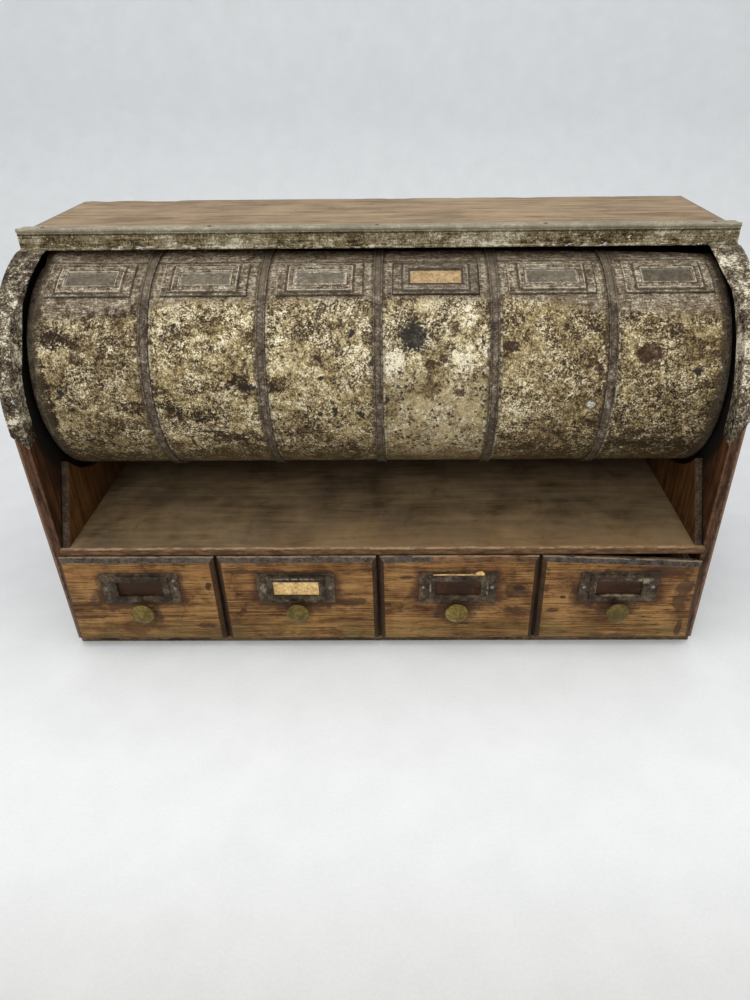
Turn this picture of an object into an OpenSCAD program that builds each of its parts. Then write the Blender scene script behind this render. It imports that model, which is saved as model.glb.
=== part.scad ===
// Storage bin cabinet: four small drawers, an open shelf over them and a drum of six bins on two
// pivot pins. The drum's mouth looks up and back when shut, and turns forward to open.
// The front faces -Y. The origin lies on the table, under the middle of the whole cabinet.

/* [Case] */
// Width over the two side panels
case_w = 406; // [390:1:430]
// Depth from the sides' front edges to the back
case_d = 163; // [160:1:185]
// Height from the table to the upper face of the top board
case_h = 249; // [230:1:272]
// Thickness of a side panel
side_t = 7; // [6:0.5:9]
// Radius of the sides' curved front edge
curve_r = 79.5; // [78.5:0.5:84]
// Height of the sides' top edge above the centre of that curve
curve_rise = 77.5; // [75:0.25:78]
// Thickness of the bottom board, which lies under the sides
bottom_t = 4.5; // [4:0.5:6]
// How far the bottom board stays inside the sides
bottom_inset = 1; // [0.5:0.5:3]
// Thickness of the top board
top_t = 10.5; // [9:0.5:13]
// How far the ends of the top board stay inside the sides' outer faces
top_inset = 3; // [1:0.5:5]
// Thickness of the back panel
back_t = 5; // [4:0.5:8]
// Depth of the rebates in the sides that take the back panel
rebate_d = 3; // [2:0.5:4]
// Softened front edges of the bottom board and the shelf
edge_ease = 1; // [0.5:0.25:1.5]

/* [Shelf and bays] */
// Clear height between the shelf and the drum
shelf_room = 27.5; // [20:0.5:34]
// Thickness of the shelf over the bays
shelf_t = 6; // [5:0.5:8]
// Thickness of a divider between two drawers
divider_t = 5; // [4:0.5:7]
// How far the dividers stand behind the sides' front edges
divider_recess = 3; // [2:0.5:8]
// Depth of the housings that take the shelf and the dividers
housing_d = 1.5; // [1:0.25:2]
// Thickness of the liner boards inside the sides
liner_t = 5; // [3:0.5:6]
// Height of the liner boards above the shelf
liner_h = 46; // [38:1:52]
// How far the foot of a liner stands behind the shelf's front
liner_set = 1; // [0.5:0.5:4]
// Room between the liners' hollow edges and the drum
liner_gap = 3.5; // [2.5:0.5:6]

/* [Tin trim] */
// Thickness of the tin on rail, trims and drum fittings
tin_t = 0.8; // [0.6:0.1:1.2]
// How far the rail stands behind the top end of the sides' curve
rail_set = 5.2; // [1.5:0.1:8]
// Width of the rail's flange on the top board
rail_flange = 10; // [6:0.5:16]
// How far the rail's end tabs reach down over the sides
rail_tab = 4; // [2:0.5:8]
// Radius of the rolled bead along the rail's upper edge
bead_r = 1.2; // [0.9:0.1:1.6]
// Radius of the hem along the rail's lower edge
hem_r = 0.7; // [0.5:0.1:0.9]
// How far the side trims lap onto the faces of the sides
trim_lap = 9.5; // [6:0.5:12]
// How far the side trims run down below the centre of the curve
trim_tail = 15; // [8:1:24]
// Rise of the slanting cut at the trims' lower ends
trim_cut = 2.5; // [1:0.5:9]
// Gap between the side trims and the rail's hem
trim_gap = 0.2; // [0.1:0.1:0.5]
// Radius of the heads of the trim tacks
tack_r = 1.3; // [1:0.1:1.8]
// Length of the trim tacks
tack_l = 5; // [3:0.5:6]
// How far the outer tacks stand inside the sides' outer faces
tack_inset = 12; // [8:1:20]

/* [Drum] */
// Outer radius of the drum
drum_r = 64; // [61:0.5:65.5]
// Room between the drum and the underside of the top board
drum_top_gap = 6; // [5.5:0.25:9]
// How far the drum's front stands behind the sides' front edges
drum_set = 14; // [12:0.5:18]
// Mean gap between a drum end and the side panel
drum_end_gap = 3; // [2.75:0.25:5]
// How far the drum sits off the middle, to the right
drum_shift = 0.7; // [-0.8:0.1:0.8]
// Thickness of the drum's sheet
sheet_t = 1; // [0.8:0.1:1.4]
// Thickness of the drum ends
end_t = 8; // [6:0.5:12]
// Thickness of the rim of a drum end, which covers the sheet's edge
rim_t = 3.5; // [2.5:0.5:5]
// Rounding of that rim
rim_round = 2; // [1:0.25:2.25]
// Thickness of the partitions between the bins
partition_t = 5; // [3:0.5:7]
// Angle of the mouth's upper front lip above the forward horizontal
lip_angle = 91; // [82:1:94]
// Angle over which the mouth is open
mouth_angle = 100; // [80:1:110]
// Radius of the wired edge on each lip
wire_r = 1.5; // [1:0.1:2]
// Room between the wired lips and the straight edges of the ends and partitions
lip_gap = 0.4; // [0.2:0.1:1]
// Clearance between the drum's sheet and what lies on it or in it
skin_gap = 0.1; // [0.05:0.05:0.2]
// Width of the strips over the partitions
rib_w = 5.2; // [4:0.2:7]
// Height of the round beads along both edges of a strip
rib_bead = 0.5; // [0.3:0.1:0.7]
// Radius of the pivot pins
pin_r = 3; // [2.5:0.25:4]
// Radial play of the hubs on the pivot pins
pin_play = 0.05; // [0.02:0.01:0.1]
// Radius of the pivot pins' countersunk heads
pin_head_r = 5.5; // [5:0.25:7]
// Outer radius of a hub's bush
bush_r = 6; // [5.5:0.25:8]
// Radius of a hub's flange
hub_r = 15; // [12:0.5:20]
// Thickness of a hub's flange
hub_t = 1; // [0.8:0.1:1.2]

/* [Label holders] */
// Width of a label holder
holder_w = 48.4; // [46:0.2:52]
// Height of a drum holder, along the curve
drum_holder_h = 25.7; // [24:0.1:30]
// Height of a drawer holder
drawer_holder_h = 23; // [21.5:0.5:25]
// Width of the raised frame
frame_w = 36; // [34:0.5:39]
// Height of the raised frame
frame_h = 19.5; // [17.5:0.5:20.5]
// Height of the raised frame's face above the plate
frame_rise = 1.1; // [0.8:0.1:1.5]
// Width of the window
window_w = 28.5; // [25:0.5:30]
// Height of the window
window_h = 10.9; // [9:0.1:12]
// How far a label reaches under the frame, past the window's edges
label_lap = 1.5; // [1:0.25:2]
// Thickness of a label
label_t = 0.4; // [0.3:0.05:0.5]
// Play of a label in its pocket
label_play = 0.1; // [0.05:0.05:0.2]
// Angle of the drum holders' middle above the forward horizontal
holder_angle = 64; // [60:1:70]
// Distance between the two pins of a drawer holder
pin_pitch = 42.7; // [40.5:0.1:45]
// Radius of the heads of the holder pins
holder_pin_r = 1.2; // [0.9:0.1:1.5]
// Length of the holder pins below the head
holder_pin_l = 5; // [3:0.5:6]

/* [Drawers] */
// Thickness of a drawer front
front_t = 8; // [7.5:0.5:10]
// How far the fronts' faces stand before the case, all of it as a lip round the front
front_proud = 4; // [3.5:0.25:5]
// Room between the back of a lip and the edges of the case
lip_play = 0.2; // [0.1:0.1:0.4]
// Gap between the lips of two fronts
front_gap = 2.2; // [1.5:0.1:3]
// Mean lap of the row's two ends over the side panels' edges
front_lap = 2.9; // [2.5:0.1:3.5]
// How far the row of fronts sits off the middle, to the right
row_shift = -1.9; // [-1.9:0.1:1.9]
// Height of the lips' lower edge above the bottom board
lip_rise = 1.5; // [0.5:0.25:2.5]
// Lap of the lips over the shelf's front edge
shelf_lap = 0.6; // [0.2:0.1:1.5]
// Play at each side of a drawer
side_gap = 0.5; // [0.4:0.1:1]
// Play under a drawer
slide_gap = 0.3; // [0.2:0.1:0.5]
// Play over the part of a front that goes into its bay
top_gap = 1.2; // [0.8:0.1:3]
// Play between a drawer and the back panel
rear_gap = 1; // [0.5:0.5:10]
// Chamfer round the face of a drawer front
front_chamfer = 2.5; // [1:0.1:3]
// Fall of each front's top edge from its left to its right end
front_fall = [0, 0, 0, 4.6]; // [0:0.1:6]
// How far each front's upper left corner lies inside its lower one
left_lean = [2, 0, 0, 0]; // [0:0.5:3]
// How far each front's lower right corner lies outside its upper one
right_lean = [0, 0, 0, 2.5]; // [0:0.5:3]
// Thickness of the drawer sides and backs
wall_t = 4; // [3.5:0.5:5]
// How far the drawer sides stay below the top of the front
wall_drop = 10; // [9:1:16]
// How far the drawer sides are let into the front
wall_lap = 3; // [2:0.5:3.5]
// Thickness of a drawer's floor
floor_t = 2.5; // [2:0.25:3]
// Height of the floor above the lower edge of the drawer
floor_rise = 3; // [2:0.5:5]
// Depth of the grooves that hold the floor
groove_d = 1.5; // [1:0.25:1.75]
// Height of a label holder's middle above the middle of the front
holder_lift = 11; // [8:0.1:12]
// Sideways place of each drawer's label holder from the middle of its front
holder_off = [1, -1.5, -0.5, -0.5]; // [-6:0.5:6]
// How far a knob's middle lies below the middle of the front
knob_sink = 5.5; // [5:0.5:9]
// Sideways place of each knob from the middle of its front
knob_off = [0.5, -1, -1, 0]; // [-6:0.5:6]
// Radius of a knob
knob_r = 7.2; // [6:0.1:8]
// How far a knob stands out from the front
knob_reach = 8.5; // [8:0.5:16]
// Height of the dome on a knob's face
knob_dome = 1.8; // [1:0.1:3]
// Thickness of a knob's rim
knob_rim = 1.6; // [1:0.1:2.5]
// Radius of a knob's neck
neck_r = 2.5; // [2.5:0.1:3]
// Radius of the hollow under a knob's head
neck_hollow = 3.5; // [2:0.25:3.75]
// Radius of a knob's shank through the front
shank_r = 1.8; // [1.5:0.1:2.2]
// Radial play of a knob's shank in the front
shank_play = 0.05; // [0.02:0.01:0.1]
// Radius of the riveted end inside the front
rivet_r = 3.4; // [2.8:0.2:4]
// Thickness of the riveted end inside the front
rivet_t = 1; // [0.8:0.1:1.5]

/* [Hidden] */
DRAWERS = [1, 2, 3, 4];
BINS = 6;
DRAWER_PARTS = ["front", "sides", "back", "bottom", "knob", "label_holder", "holder_pins"];
// Ragged upper edge of the torn card: distances along the frame and heights above it
TEAR = [[-15.5, 0.7], [-6, 1], [2, 0.8], [8.6, 0.9], [10.3, 0.5], [11.5, 2.6], [14.6, 3.4], [16.4, 1.2]];

round_fn = 96;
small_fn = 32;
// A cut that goes right through runs this far past both faces
past = 1;

half_w = case_w / 2;
inner_w = case_w - 2 * side_t;
side_top = case_h - top_t;
drum_z = side_top - drum_top_gap - drum_r;
// The bays take the height that the drum, the open shelf and the boards leave
shelf_top = drum_z - drum_r - shelf_room;
shelf_z = shelf_top - shelf_t;
bay_h = shelf_z - bottom_t;
back_y = case_d - back_t;
curve_z = side_top - curve_rise;
curve_end_y = curve_r - sqrt(curve_r * curve_r - curve_rise * curve_rise);
rail_y = curve_end_y + rail_set;

drum_y = drum_set + drum_r;
drum_l = inner_w - 2 * drum_end_gap;
sheet_l = drum_l - 2 * rim_t;
bin_pitch = drum_l / BINS;
sheet_in_r = drum_r - sheet_t;
mouth_mid = lip_angle + mouth_angle / 2;
wire_angle = asin(wire_r / (drum_r - wire_r));
// Distance of the ends' and partitions' straight edges from the axis, clear of the wired lips
chord_d = (drum_r - wire_r) * cos(mouth_angle / 2 + wire_angle) - wire_r - lip_gap;
liner_top = shelf_top + liner_h;
liner_r = drum_r + liner_gap;
liner_y = drum_y - sqrt(liner_r * liner_r - (drum_z - liner_top) * (drum_z - liner_top));

front_w = (inner_w + 2 * front_lap - (len(DRAWERS) - 1) * front_gap) / len(DRAWERS);
front_pitch = front_w + front_gap;
lip_z = bottom_t + lip_rise;
lip_t = front_proud - lip_play;
front_h = shelf_z + shelf_lap - lip_z;
drawer_z = bottom_t + slide_gap;
// Height of the part of a front that goes into its bay
block_h = bay_h - slide_gap - top_gap;
holder_rise = front_h / 2 + holder_lift;
knob_rise = front_h / 2 - knob_sink;
front_back = front_t - front_proud;
wall_h = block_h - wall_drop;
wall_y = front_back - wall_lap;
drawer_end = back_y - rear_gap;
floor_z = drawer_z + floor_rise;

// Pocket behind a frame: the label with its play all round
pocket_w = window_w + 2 * (label_lap + label_play);
pocket_h = window_h + 2 * (label_lap + label_play);
pocket_t = label_t + label_play;
skin_r = drum_r + skin_gap;
plate_r = skin_r + tin_t;
frame_out_r = plate_r + frame_rise;

// The cabinet's middle, knobs included, lies over the origin
front_y = -(case_d - front_proud - knob_reach) / 2;

// Places are given from the middle of the sides' front edges, at table height
module in_case() {
    translate([0, front_y, 0]) children();
}

// Draws a profile of the Y-Z plane out along X, from x for a width w
module across(x, w) {
    translate([x, 0, 0]) rotate([90, 0, 90]) linear_extrude(w) children();
}

// Both sides from the left one
module to_side(right) {
    mirror([right ? 1 : 0, 0, 0]) children();
}

// Puts what is made about the Z axis on the drum's axis. Angle 0 faces forward, 90 up, and +Z left.
module on_drum(x) {
    translate([drum_shift + x, drum_y, drum_z]) rotate([90, 0, -90]) children();
}

// Part of a ring about Z: radii, middle angle and span, and width along Z
module ring_part(inner, outer, middle, span, w) {
    rotate([0, 0, middle - span / 2])
        rotate_extrude(angle = span, $fn = round_fn)
            translate([inner, -w / 2]) square([outer - inner, w]);
}

function front_x(i) = row_shift + (i - (len(DRAWERS) + 1) / 2) * front_pitch;
// The divider to the right of a drawer stands behind the gap between the fronts
function divider_x(i) = front_x(i) + front_pitch / 2;
// Outer faces of a drawer's box
function box_left(i) = (i == 1 ? -inner_w / 2 : divider_x(i - 1) + divider_t / 2) + side_gap;
function box_right(i) = (i == len(DRAWERS) ? inner_w / 2 : divider_x(i) - divider_t / 2) - side_gap;
// Upper edge, at a place along it, of what goes into the bay. It falls like the front's own.
function block_top(i, x) = block_h - front_fall[i - 1] * ((x - front_x(i)) / front_w + 0.5);
function bin_x(i) = (i - (BINS + 1) / 2) * bin_pitch;
// Angle that a length takes on the drum's surface
function on_curve(l) = l / drum_r * 180 / PI;

// Case

module eased_board(depth, t, ease) {
    polygon([
        [ease, 0], [depth, 0], [depth, t], [ease, t], [0, t - ease], [0, ease]
    ]);
}

module divider_places() {
    for (i = [1 : len(DRAWERS) - 1]) translate([divider_x(i), 0, 0]) children();
}

module divider() {
    translate([-divider_t / 2, divider_recess, bottom_t - housing_d])
        cube([divider_t, back_y - divider_recess, bay_h + 2 * housing_d]);
}

module bottom_board() {
    w = case_w - 2 * bottom_inset;
    color("#7d5a3a") in_case() difference() {
        translate([0, bottom_inset, 0])
            across(-w / 2, w) eased_board(case_d - bottom_inset, bottom_t, edge_ease);
        divider_places() divider();
    }
}

module shelf() {
    w = inner_w + 2 * housing_d;
    color("#8a7762") in_case() difference() {
        translate([0, 0, shelf_z]) across(-w / 2, w) eased_board(back_y, shelf_t, edge_ease);
        divider_places() divider();
    }
}

module drawer_divider(i) {
    color("#5f3d28") in_case() translate([divider_x(i), 0, 0]) divider();
}

// The sides' outline, or the outline that lies by that much outside its front edge
module side_outline(outside = 0) {
    r = curve_r + outside;
    intersection() {
        translate([-outside, bottom_t])
            square([case_d + outside, side_top - bottom_t + outside]);
        union() {
            translate([curve_r, curve_z]) circle(r = r, $fn = 2 * round_fn);
            translate([-outside, bottom_t]) square([case_d + outside, curve_z - bottom_t]);
            translate([curve_r, bottom_t]) square([case_d - curve_r, case_h]);
        }
    }
}

module side_panel() {
    difference() {
        across(-half_w, side_t) side_outline();
        translate([-inner_w / 2 - rebate_d, back_y, bottom_t - past])
            cube([side_t, back_t + past, side_top + 2 * past]);
        translate([-inner_w / 2 - housing_d, -past, shelf_z])
            cube([side_t, back_y + past, shelf_t]);
        translate([-half_w, drum_y, drum_z]) rotate([0, 90, 0]) pin_shape(side_t + past);
    }
}

module side(right) {
    color("#6e4429") in_case() to_side(right) side_panel();
}

module top_board() {
    w = case_w - 2 * top_inset;
    y = rail_y + tin_t;
    color("#9a6f45") in_case() difference() {
        translate([-w / 2, y, side_top]) cube([w, case_d - y, top_t]);
        tacks();
    }
}

module back_panel() {
    w = inner_w + 2 * rebate_d;
    color("#6b4a31") in_case()
        translate([-w / 2, back_y, bottom_t]) cube([w, back_t, side_top - bottom_t]);
}

module liner(right) {
    color("#7a4a2b") in_case() to_side(right) across(-inner_w / 2, liner_t) difference() {
        polygon([
            [liner_set, shelf_top], [back_y, shelf_top], [back_y, liner_top], [liner_y, liner_top]
        ]);
        translate([drum_y, drum_z]) circle(r = liner_r, $fn = 2 * round_fn);
    }
}

// Tin trim

module rail_trim() {
    w = case_w + 2 * tin_t;
    tab_z = side_top - rail_tab;
    color("#8c8460") in_case() difference() {
        union() {
            across(-w / 2, w) {
                translate([rail_y, side_top]) square([tin_t, top_t]);
                translate([rail_y, case_h]) square([rail_flange, tin_t]);
                translate([rail_y + tin_t / 2, case_h + tin_t / 2]) circle(r = bead_r, $fn = small_fn);
                translate([rail_y, side_top + hem_r]) circle(r = hem_r, $fn = small_fn);
            }
            for (right = [false, true]) to_side(right) translate([-w / 2, rail_y, tab_z])
                cube([tin_t, rail_flange, case_h + tin_t - tab_z]);
        }
        across(-half_w, case_w) translate([rail_y + tin_t, side_top]) square([case_d, top_t]);
        tacks();
    }
}

// Region that a side trim covers, seen from the side
module trim_outline(outside) {
    foot = curve_z - trim_tail;
    difference() {
        side_outline(outside);
        translate([curve_r, curve_z]) circle(r = curve_r - trim_lap, $fn = 2 * round_fn);
        translate([trim_lap, bottom_t - past]) square([case_d, curve_z - bottom_t + past]);
        translate([rail_y - hem_r - trim_gap, bottom_t]) square([case_d, case_h]);
        polygon([
            [-outside - past, bottom_t - past], [case_d, bottom_t - past],
            [case_d, foot + trim_cut], [trim_lap, foot + trim_cut], [-outside, foot], [-outside - past, foot]
        ]);
    }
}

module side_trim(right) {
    w = side_t + 2 * tin_t;
    color("#8f8763") in_case() to_side(right) difference() {
        across(-half_w - tin_t, w) trim_outline(tin_t);
        across(-half_w, side_t) side_outline();
    }
}

// A pin with a low round head: shank down along -Z, the head's underside at the origin
module round_pin(head_r, l) {
    translate([0, 0, -l]) cylinder(r = head_r / 2, h = l, $fn = small_fn);
    rotate_extrude($fn = small_fn) intersection() {
        translate([0, -head_r]) circle(r = head_r * sqrt(2), $fn = small_fn);
        square(head_r);
    }
}

// Five tacks along the rail's flange
module tacks() {
    for (i = [-2 : 2])
        translate([i * (half_w - tack_inset) / 2, rail_y + rail_flange / 2 + tin_t, case_h + tin_t])
            round_pin(tack_r, tack_l);
}

module trim_tacks() {
    color("#5a4a36") in_case() tacks();
}

// Drum

// Pin along +Z from its head's face
module pin_shape(l) {
    head = pin_head_r - pin_r;
    cylinder(r1 = pin_head_r, r2 = pin_r, h = head, $fn = small_fn);
    cylinder(r = pin_r, h = l, $fn = small_fn);
}

module pivot_pin(right) {
    gap = drum_end_gap + (right ? -drum_shift : drum_shift);
    color("#7b7468") in_case() to_side(right)
        translate([-half_w, drum_y, drum_z]) rotate([0, 90, 0]) pin_shape(side_t + gap + end_t);
}

// Everything past the line between the lips
module mouth_cut(w) {
    rotate([0, 0, mouth_mid]) translate([chord_d, -drum_r, -w / 2]) cube([drum_r, 2 * drum_r, w]);
}

module drum_end_shape() {
    difference() {
        rotate_extrude($fn = 2 * round_fn) difference() {
            union() {
                translate([0, -end_t]) square([sheet_in_r - skin_gap, end_t]);
                translate([0, -rim_t]) square([drum_r - rim_round, rim_t]);
                translate([0, -rim_t]) square([drum_r, rim_t - rim_round]);
                intersection() {
                    translate([drum_r - rim_round, -rim_round]) circle(r = rim_round, $fn = small_fn);
                    translate([0, -rim_t]) square([drum_r, rim_t]);
                }
            }
            translate([0, -end_t - past]) square([bush_r, end_t + 2 * past]);
        }
        mouth_cut(4 * end_t);
    }
}

module drum_end(right) {
    color("#6a5a40") in_case() translate([drum_shift, 0, 0]) to_side(right)
        translate([-drum_shift, 0, 0]) on_drum(-drum_l / 2) drum_end_shape();
}

module drum_hub(right) {
    color("#8a7a4a") in_case() translate([drum_shift, 0, 0]) to_side(right)
        translate([-drum_shift, 0, 0]) on_drum(-drum_l / 2)
            rotate_extrude($fn = round_fn) {
                translate([pin_r + pin_play, -end_t]) square([bush_r - pin_r - pin_play, end_t]);
                translate([pin_r + pin_play, 0]) square([hub_r - pin_r - pin_play, hub_t]);
            }
}

module drum_sheet() {
    span = 360 - mouth_angle;
    color("#8b7f58") in_case() on_drum(0) {
        ring_part(sheet_in_r, drum_r, mouth_mid + 180, span, sheet_l);
        for (a = [lip_angle - wire_angle, lip_angle + mouth_angle + wire_angle])
            rotate([0, 0, a]) translate([drum_r - wire_r, 0, -sheet_l / 2])
                cylinder(r = wire_r, h = sheet_l, $fn = small_fn);
    }
}

module drum_partitions() {
    color("#74512f") in_case()
        for (i = [1 : BINS - 1]) on_drum(bin_x(i) + bin_pitch / 2) difference() {
            cylinder(r = sheet_in_r - skin_gap, h = partition_t, center = true, $fn = 2 * round_fn);
            mouth_cut(2 * partition_t);
        }
}

module drum_ribs() {
    span = 360 - mouth_angle - 4 * wire_angle;
    color("#6f6450") in_case() for (i = [1 : BINS - 1]) on_drum(bin_x(i) + bin_pitch / 2)
        rotate([0, 0, mouth_mid + 180 - span / 2]) rotate_extrude(angle = span, $fn = round_fn) {
            translate([skin_r, -rib_w / 2]) square([tin_t, rib_w]);
            for (s = [-1, 1]) intersection() {
                translate([plate_r, s * (rib_w / 2 - rib_bead)]) circle(r = rib_bead, $fn = small_fn);
                translate([skin_r, -rib_w]) square([drum_r, 2 * rib_w]);
            }
        }
}

module drum_label_holders() {
    plate = on_curve(drum_holder_h);
    color("#6b604a") in_case() for (i = [1 : BINS]) on_drum(bin_x(i)) difference() {
        union() {
            ring_part(skin_r, plate_r, holder_angle, plate, holder_w);
            ring_part(skin_r, frame_out_r, holder_angle, on_curve(frame_h), frame_w);
        }
        ring_part(drum_r - past, skin_r + pocket_t, holder_angle, on_curve(pocket_h), pocket_w);
        ring_part(drum_r, frame_out_r + past, holder_angle, on_curve(window_h), window_w);
    }
}

module drum_label(i) {
    w = window_w + 2 * label_lap;
    h = window_h + 2 * label_lap;
    on_drum(bin_x(i)) ring_part(skin_r, skin_r + label_t, holder_angle, on_curve(h), w);
}

// The fourth bin carries the paper card, the others blank plates
module drum_label_blanks() {
    color("#6f6d62") in_case() for (i = [1, 2, 3, 5, 6]) drum_label(i);
}

module drum_label_card() {
    color("#b98550") in_case() drum_label(4);
}

// Drawers

// Makes its children that far from the middle of a front and above its lower edge
module at_front(i, off, rise) {
    translate([front_x(i) + off, -front_proud, lip_z + rise]) children();
}

// Outline of a front's lip, whose top edge may fall and whose ends may lean
module lip_outline(i) {
    half = front_w / 2;
    polygon([
        [-half, 0], [half + right_lean[i - 1], 0],
        [half, front_h - front_fall[i - 1]], [left_lean[i - 1] - half, front_h]
    ]);
}

module drawer_front(i) {
    left = box_left(i);
    right = box_right(i);
    color("#9b6a3c") in_case() difference() {
        union() {
            at_front(i, 0, 0) hull() {
                across_front(0, lip_t) offset(delta = -front_chamfer) lip_outline(i);
                across_front(front_chamfer, lip_t) lip_outline(i);
            }
            translate([0, 0, drawer_z]) across_front(-lip_play, front_back)
                polygon([[left, 0], [right, 0], [right, block_top(i, right)], [left, block_top(i, left)]]);
        }
        drawer_walls(i, past);
        drawer_floor(i);
        drawer_pins(i);
        at_front(i, knob_off[i - 1], knob_rise) rotate([-90, 0, 0])
            cylinder(r = shank_r + shank_play, h = front_t, $fn = small_fn);
    }
}

// Draws a profile seen from the front out between two depths
module across_front(near, far) {
    translate([0, far, 0]) rotate([90, 0, 0]) linear_extrude(far - near) children();
}

// Both side boards of a drawer, or a cutter for them that reaches past the drawer's faces
module drawer_walls(i, over = 0) {
    for (x = [box_left(i) - over, box_right(i) - wall_t]) translate([x, wall_y, drawer_z - over])
        cube([wall_t + over, drawer_end - wall_y, wall_h + over]);
}

module drawer_floor(i) {
    x = box_left(i) + wall_t - groove_d;
    y = front_back - groove_d;
    translate([x, y, floor_z])
        cube([box_right(i) - wall_t + groove_d - x, drawer_end - y, floor_t]);
}

module drawer_sides(i) {
    color("#7b5434") in_case() difference() {
        drawer_walls(i);
        drawer_floor(i);
    }
}

module drawer_back(i) {
    x = box_left(i) + wall_t;
    z = floor_z + floor_t;
    color("#7b5434") in_case() translate([x, drawer_end - wall_t, z])
        cube([box_right(i) - wall_t - x, wall_t, drawer_z + wall_h - z]);
}

module drawer_bottom(i) {
    color("#86603d") in_case() drawer_floor(i);
}

module drawer_knob(i) {
    rim_r = knob_rim / 2;
    rim_x = knob_r - rim_r;
    head_y = knob_reach - knob_dome - knob_rim;
    dome_r = (rim_x * rim_x + knob_dome * knob_dome) / (2 * knob_dome);
    color("#6f6a3d") in_case() at_front(i, knob_off[i - 1], knob_rise) rotate([90, 0, 0])
        rotate_extrude($fn = round_fn) {
            translate([0, -front_t - rivet_t]) square([rivet_r, rivet_t]);
            translate([0, -front_t]) square([shank_r, front_t]);
            square([neck_r, head_y]);
            difference() {
                translate([0, head_y - neck_hollow]) square([neck_r + neck_hollow, neck_hollow + rim_r]);
                translate([neck_r + neck_hollow, head_y - neck_hollow])
                    circle(r = neck_hollow, $fn = small_fn);
            }
            translate([0, head_y]) square([rim_x, knob_rim]);
            translate([rim_x, head_y + rim_r]) circle(r = rim_r, $fn = small_fn);
            intersection() {
                translate([0, knob_reach - dome_r]) circle(r = dome_r, $fn = 2 * round_fn);
                translate([0, head_y + rim_r]) square([rim_x, knob_reach]);
            }
        }
}

// Makes its children at a drawer's label holder: X right, Y into the front, Z up
module at_holder(i) {
    at_front(i, holder_off[i - 1], holder_rise) children();
}

// The two pins of a drawer's label holder
module drawer_pins(i) {
    at_holder(i) for (s = [-1, 1]) translate([s * pin_pitch / 2, -tin_t, 0]) rotate([90, 0, 0])
        round_pin(holder_pin_r, tin_t + holder_pin_l);
}

module slab(w, t, h) {
    translate([-w / 2, -t, -h / 2]) cube([w, t, h]);
}

module drawer_label_holder(i) {
    out = tin_t + frame_rise;
    color("#4a4030") in_case() difference() {
        at_holder(i) {
            slab(holder_w, tin_t, drawer_holder_h);
            slab(frame_w, out, frame_h);
        }
        at_holder(i) {
            translate([0, past, 0]) slab(window_w, out + 2 * past, window_h);
            translate([0, past, 0]) slab(pocket_w, pocket_t + past, pocket_h);
        }
        drawer_pins(i);
    }
}

module drawer_holder_pins(i) {
    color("#8d8a80") in_case() drawer_pins(i);
}

module drawer_card(i) {
    w = window_w + 2 * label_lap;
    h = window_h + 2 * label_lap;
    color("#d9b98a") in_case() at_holder(i) across_front(-label_t, 0) square([w, h], center = true);
}

// What is left of a torn card, caught on the upper ledge of the raised frame
module torn_card(i) {
    color("#d9b98a") in_case() at_holder(i) translate([0, -tin_t, frame_h / 2])
        across_front(-label_t, 0)
            polygon(concat([[TEAR[len(TEAR) - 1][0], 0], [TEAR[0][0], 0]], TEAR));
}

bottom_board();
side(false);  // side_left
side(true);  // side_right
top_board();
back_panel();
shelf();
liner(false);  // liner_left
liner(true);  // liner_right
for (i = [1 : len(DRAWERS) - 1]) {
    drawer_divider(i);
}
rail_trim();
side_trim(false);  // side_trim_left
side_trim(true);  // side_trim_right
trim_tacks();
pivot_pin(false);  // pivot_pin_left
pivot_pin(true);  // pivot_pin_right
drum_sheet();
drum_end(false);  // drum_end_left
drum_end(true);  // drum_end_right
drum_partitions();
drum_ribs();
drum_hub(false);  // drum_hub_left
drum_hub(true);  // drum_hub_right
drum_label_holders();
drum_label_blanks();
drum_label_card();
for (i = DRAWERS) {
    drawer_front(i);
    drawer_sides(i);
    drawer_back(i);
    drawer_bottom(i);
    drawer_knob(i);
    drawer_label_holder(i);
    drawer_holder_pins(i);
}
drawer_card(2);  // drawer_2_card
torn_card(3);  // drawer_3_card
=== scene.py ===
"""Looks of the storage bin cabinet: worn boards, a tin drum of bins, tin trim, holders and knobs.

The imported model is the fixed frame. Boards and fittings whose edges show are copied, softened and
worn, and stand for their solids. Lengths in finishes and wear are in millimetres.
"""

import logging
import math
from collections.abc import Callable
from dataclasses import dataclass, field, replace
from enum import Enum

import bmesh
import bpy
from mathutils import Matrix, Vector, noise


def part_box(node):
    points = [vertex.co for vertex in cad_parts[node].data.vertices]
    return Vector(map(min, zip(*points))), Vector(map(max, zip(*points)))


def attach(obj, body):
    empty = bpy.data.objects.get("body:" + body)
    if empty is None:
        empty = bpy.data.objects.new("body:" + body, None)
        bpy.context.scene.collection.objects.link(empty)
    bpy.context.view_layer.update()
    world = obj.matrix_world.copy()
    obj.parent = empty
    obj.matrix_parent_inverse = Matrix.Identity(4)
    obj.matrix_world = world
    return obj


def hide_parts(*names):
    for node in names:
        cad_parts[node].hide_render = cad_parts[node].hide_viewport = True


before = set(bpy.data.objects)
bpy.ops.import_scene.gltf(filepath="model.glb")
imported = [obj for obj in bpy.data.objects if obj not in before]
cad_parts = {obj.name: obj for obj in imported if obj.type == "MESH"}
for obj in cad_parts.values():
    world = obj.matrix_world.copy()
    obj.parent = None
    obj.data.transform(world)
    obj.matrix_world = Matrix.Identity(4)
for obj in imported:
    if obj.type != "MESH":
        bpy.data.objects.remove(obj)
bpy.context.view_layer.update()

log = logging.getLogger("bin_cabinet")

Colour = tuple[float, float, float]
Triple = tuple[float, float, float]
# Each stop is a position and a colour, each layer a feature size and a weight, and each mark the
# two coordinates of a stain's middle and its two half sizes
Stops = tuple[tuple[float, float, float, float], ...]
Layers = tuple[tuple[float, float], ...]
Marks = tuple[tuple[float, float, float, float], ...]
Work = bmesh.types.BMesh

MM = 0.001
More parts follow.
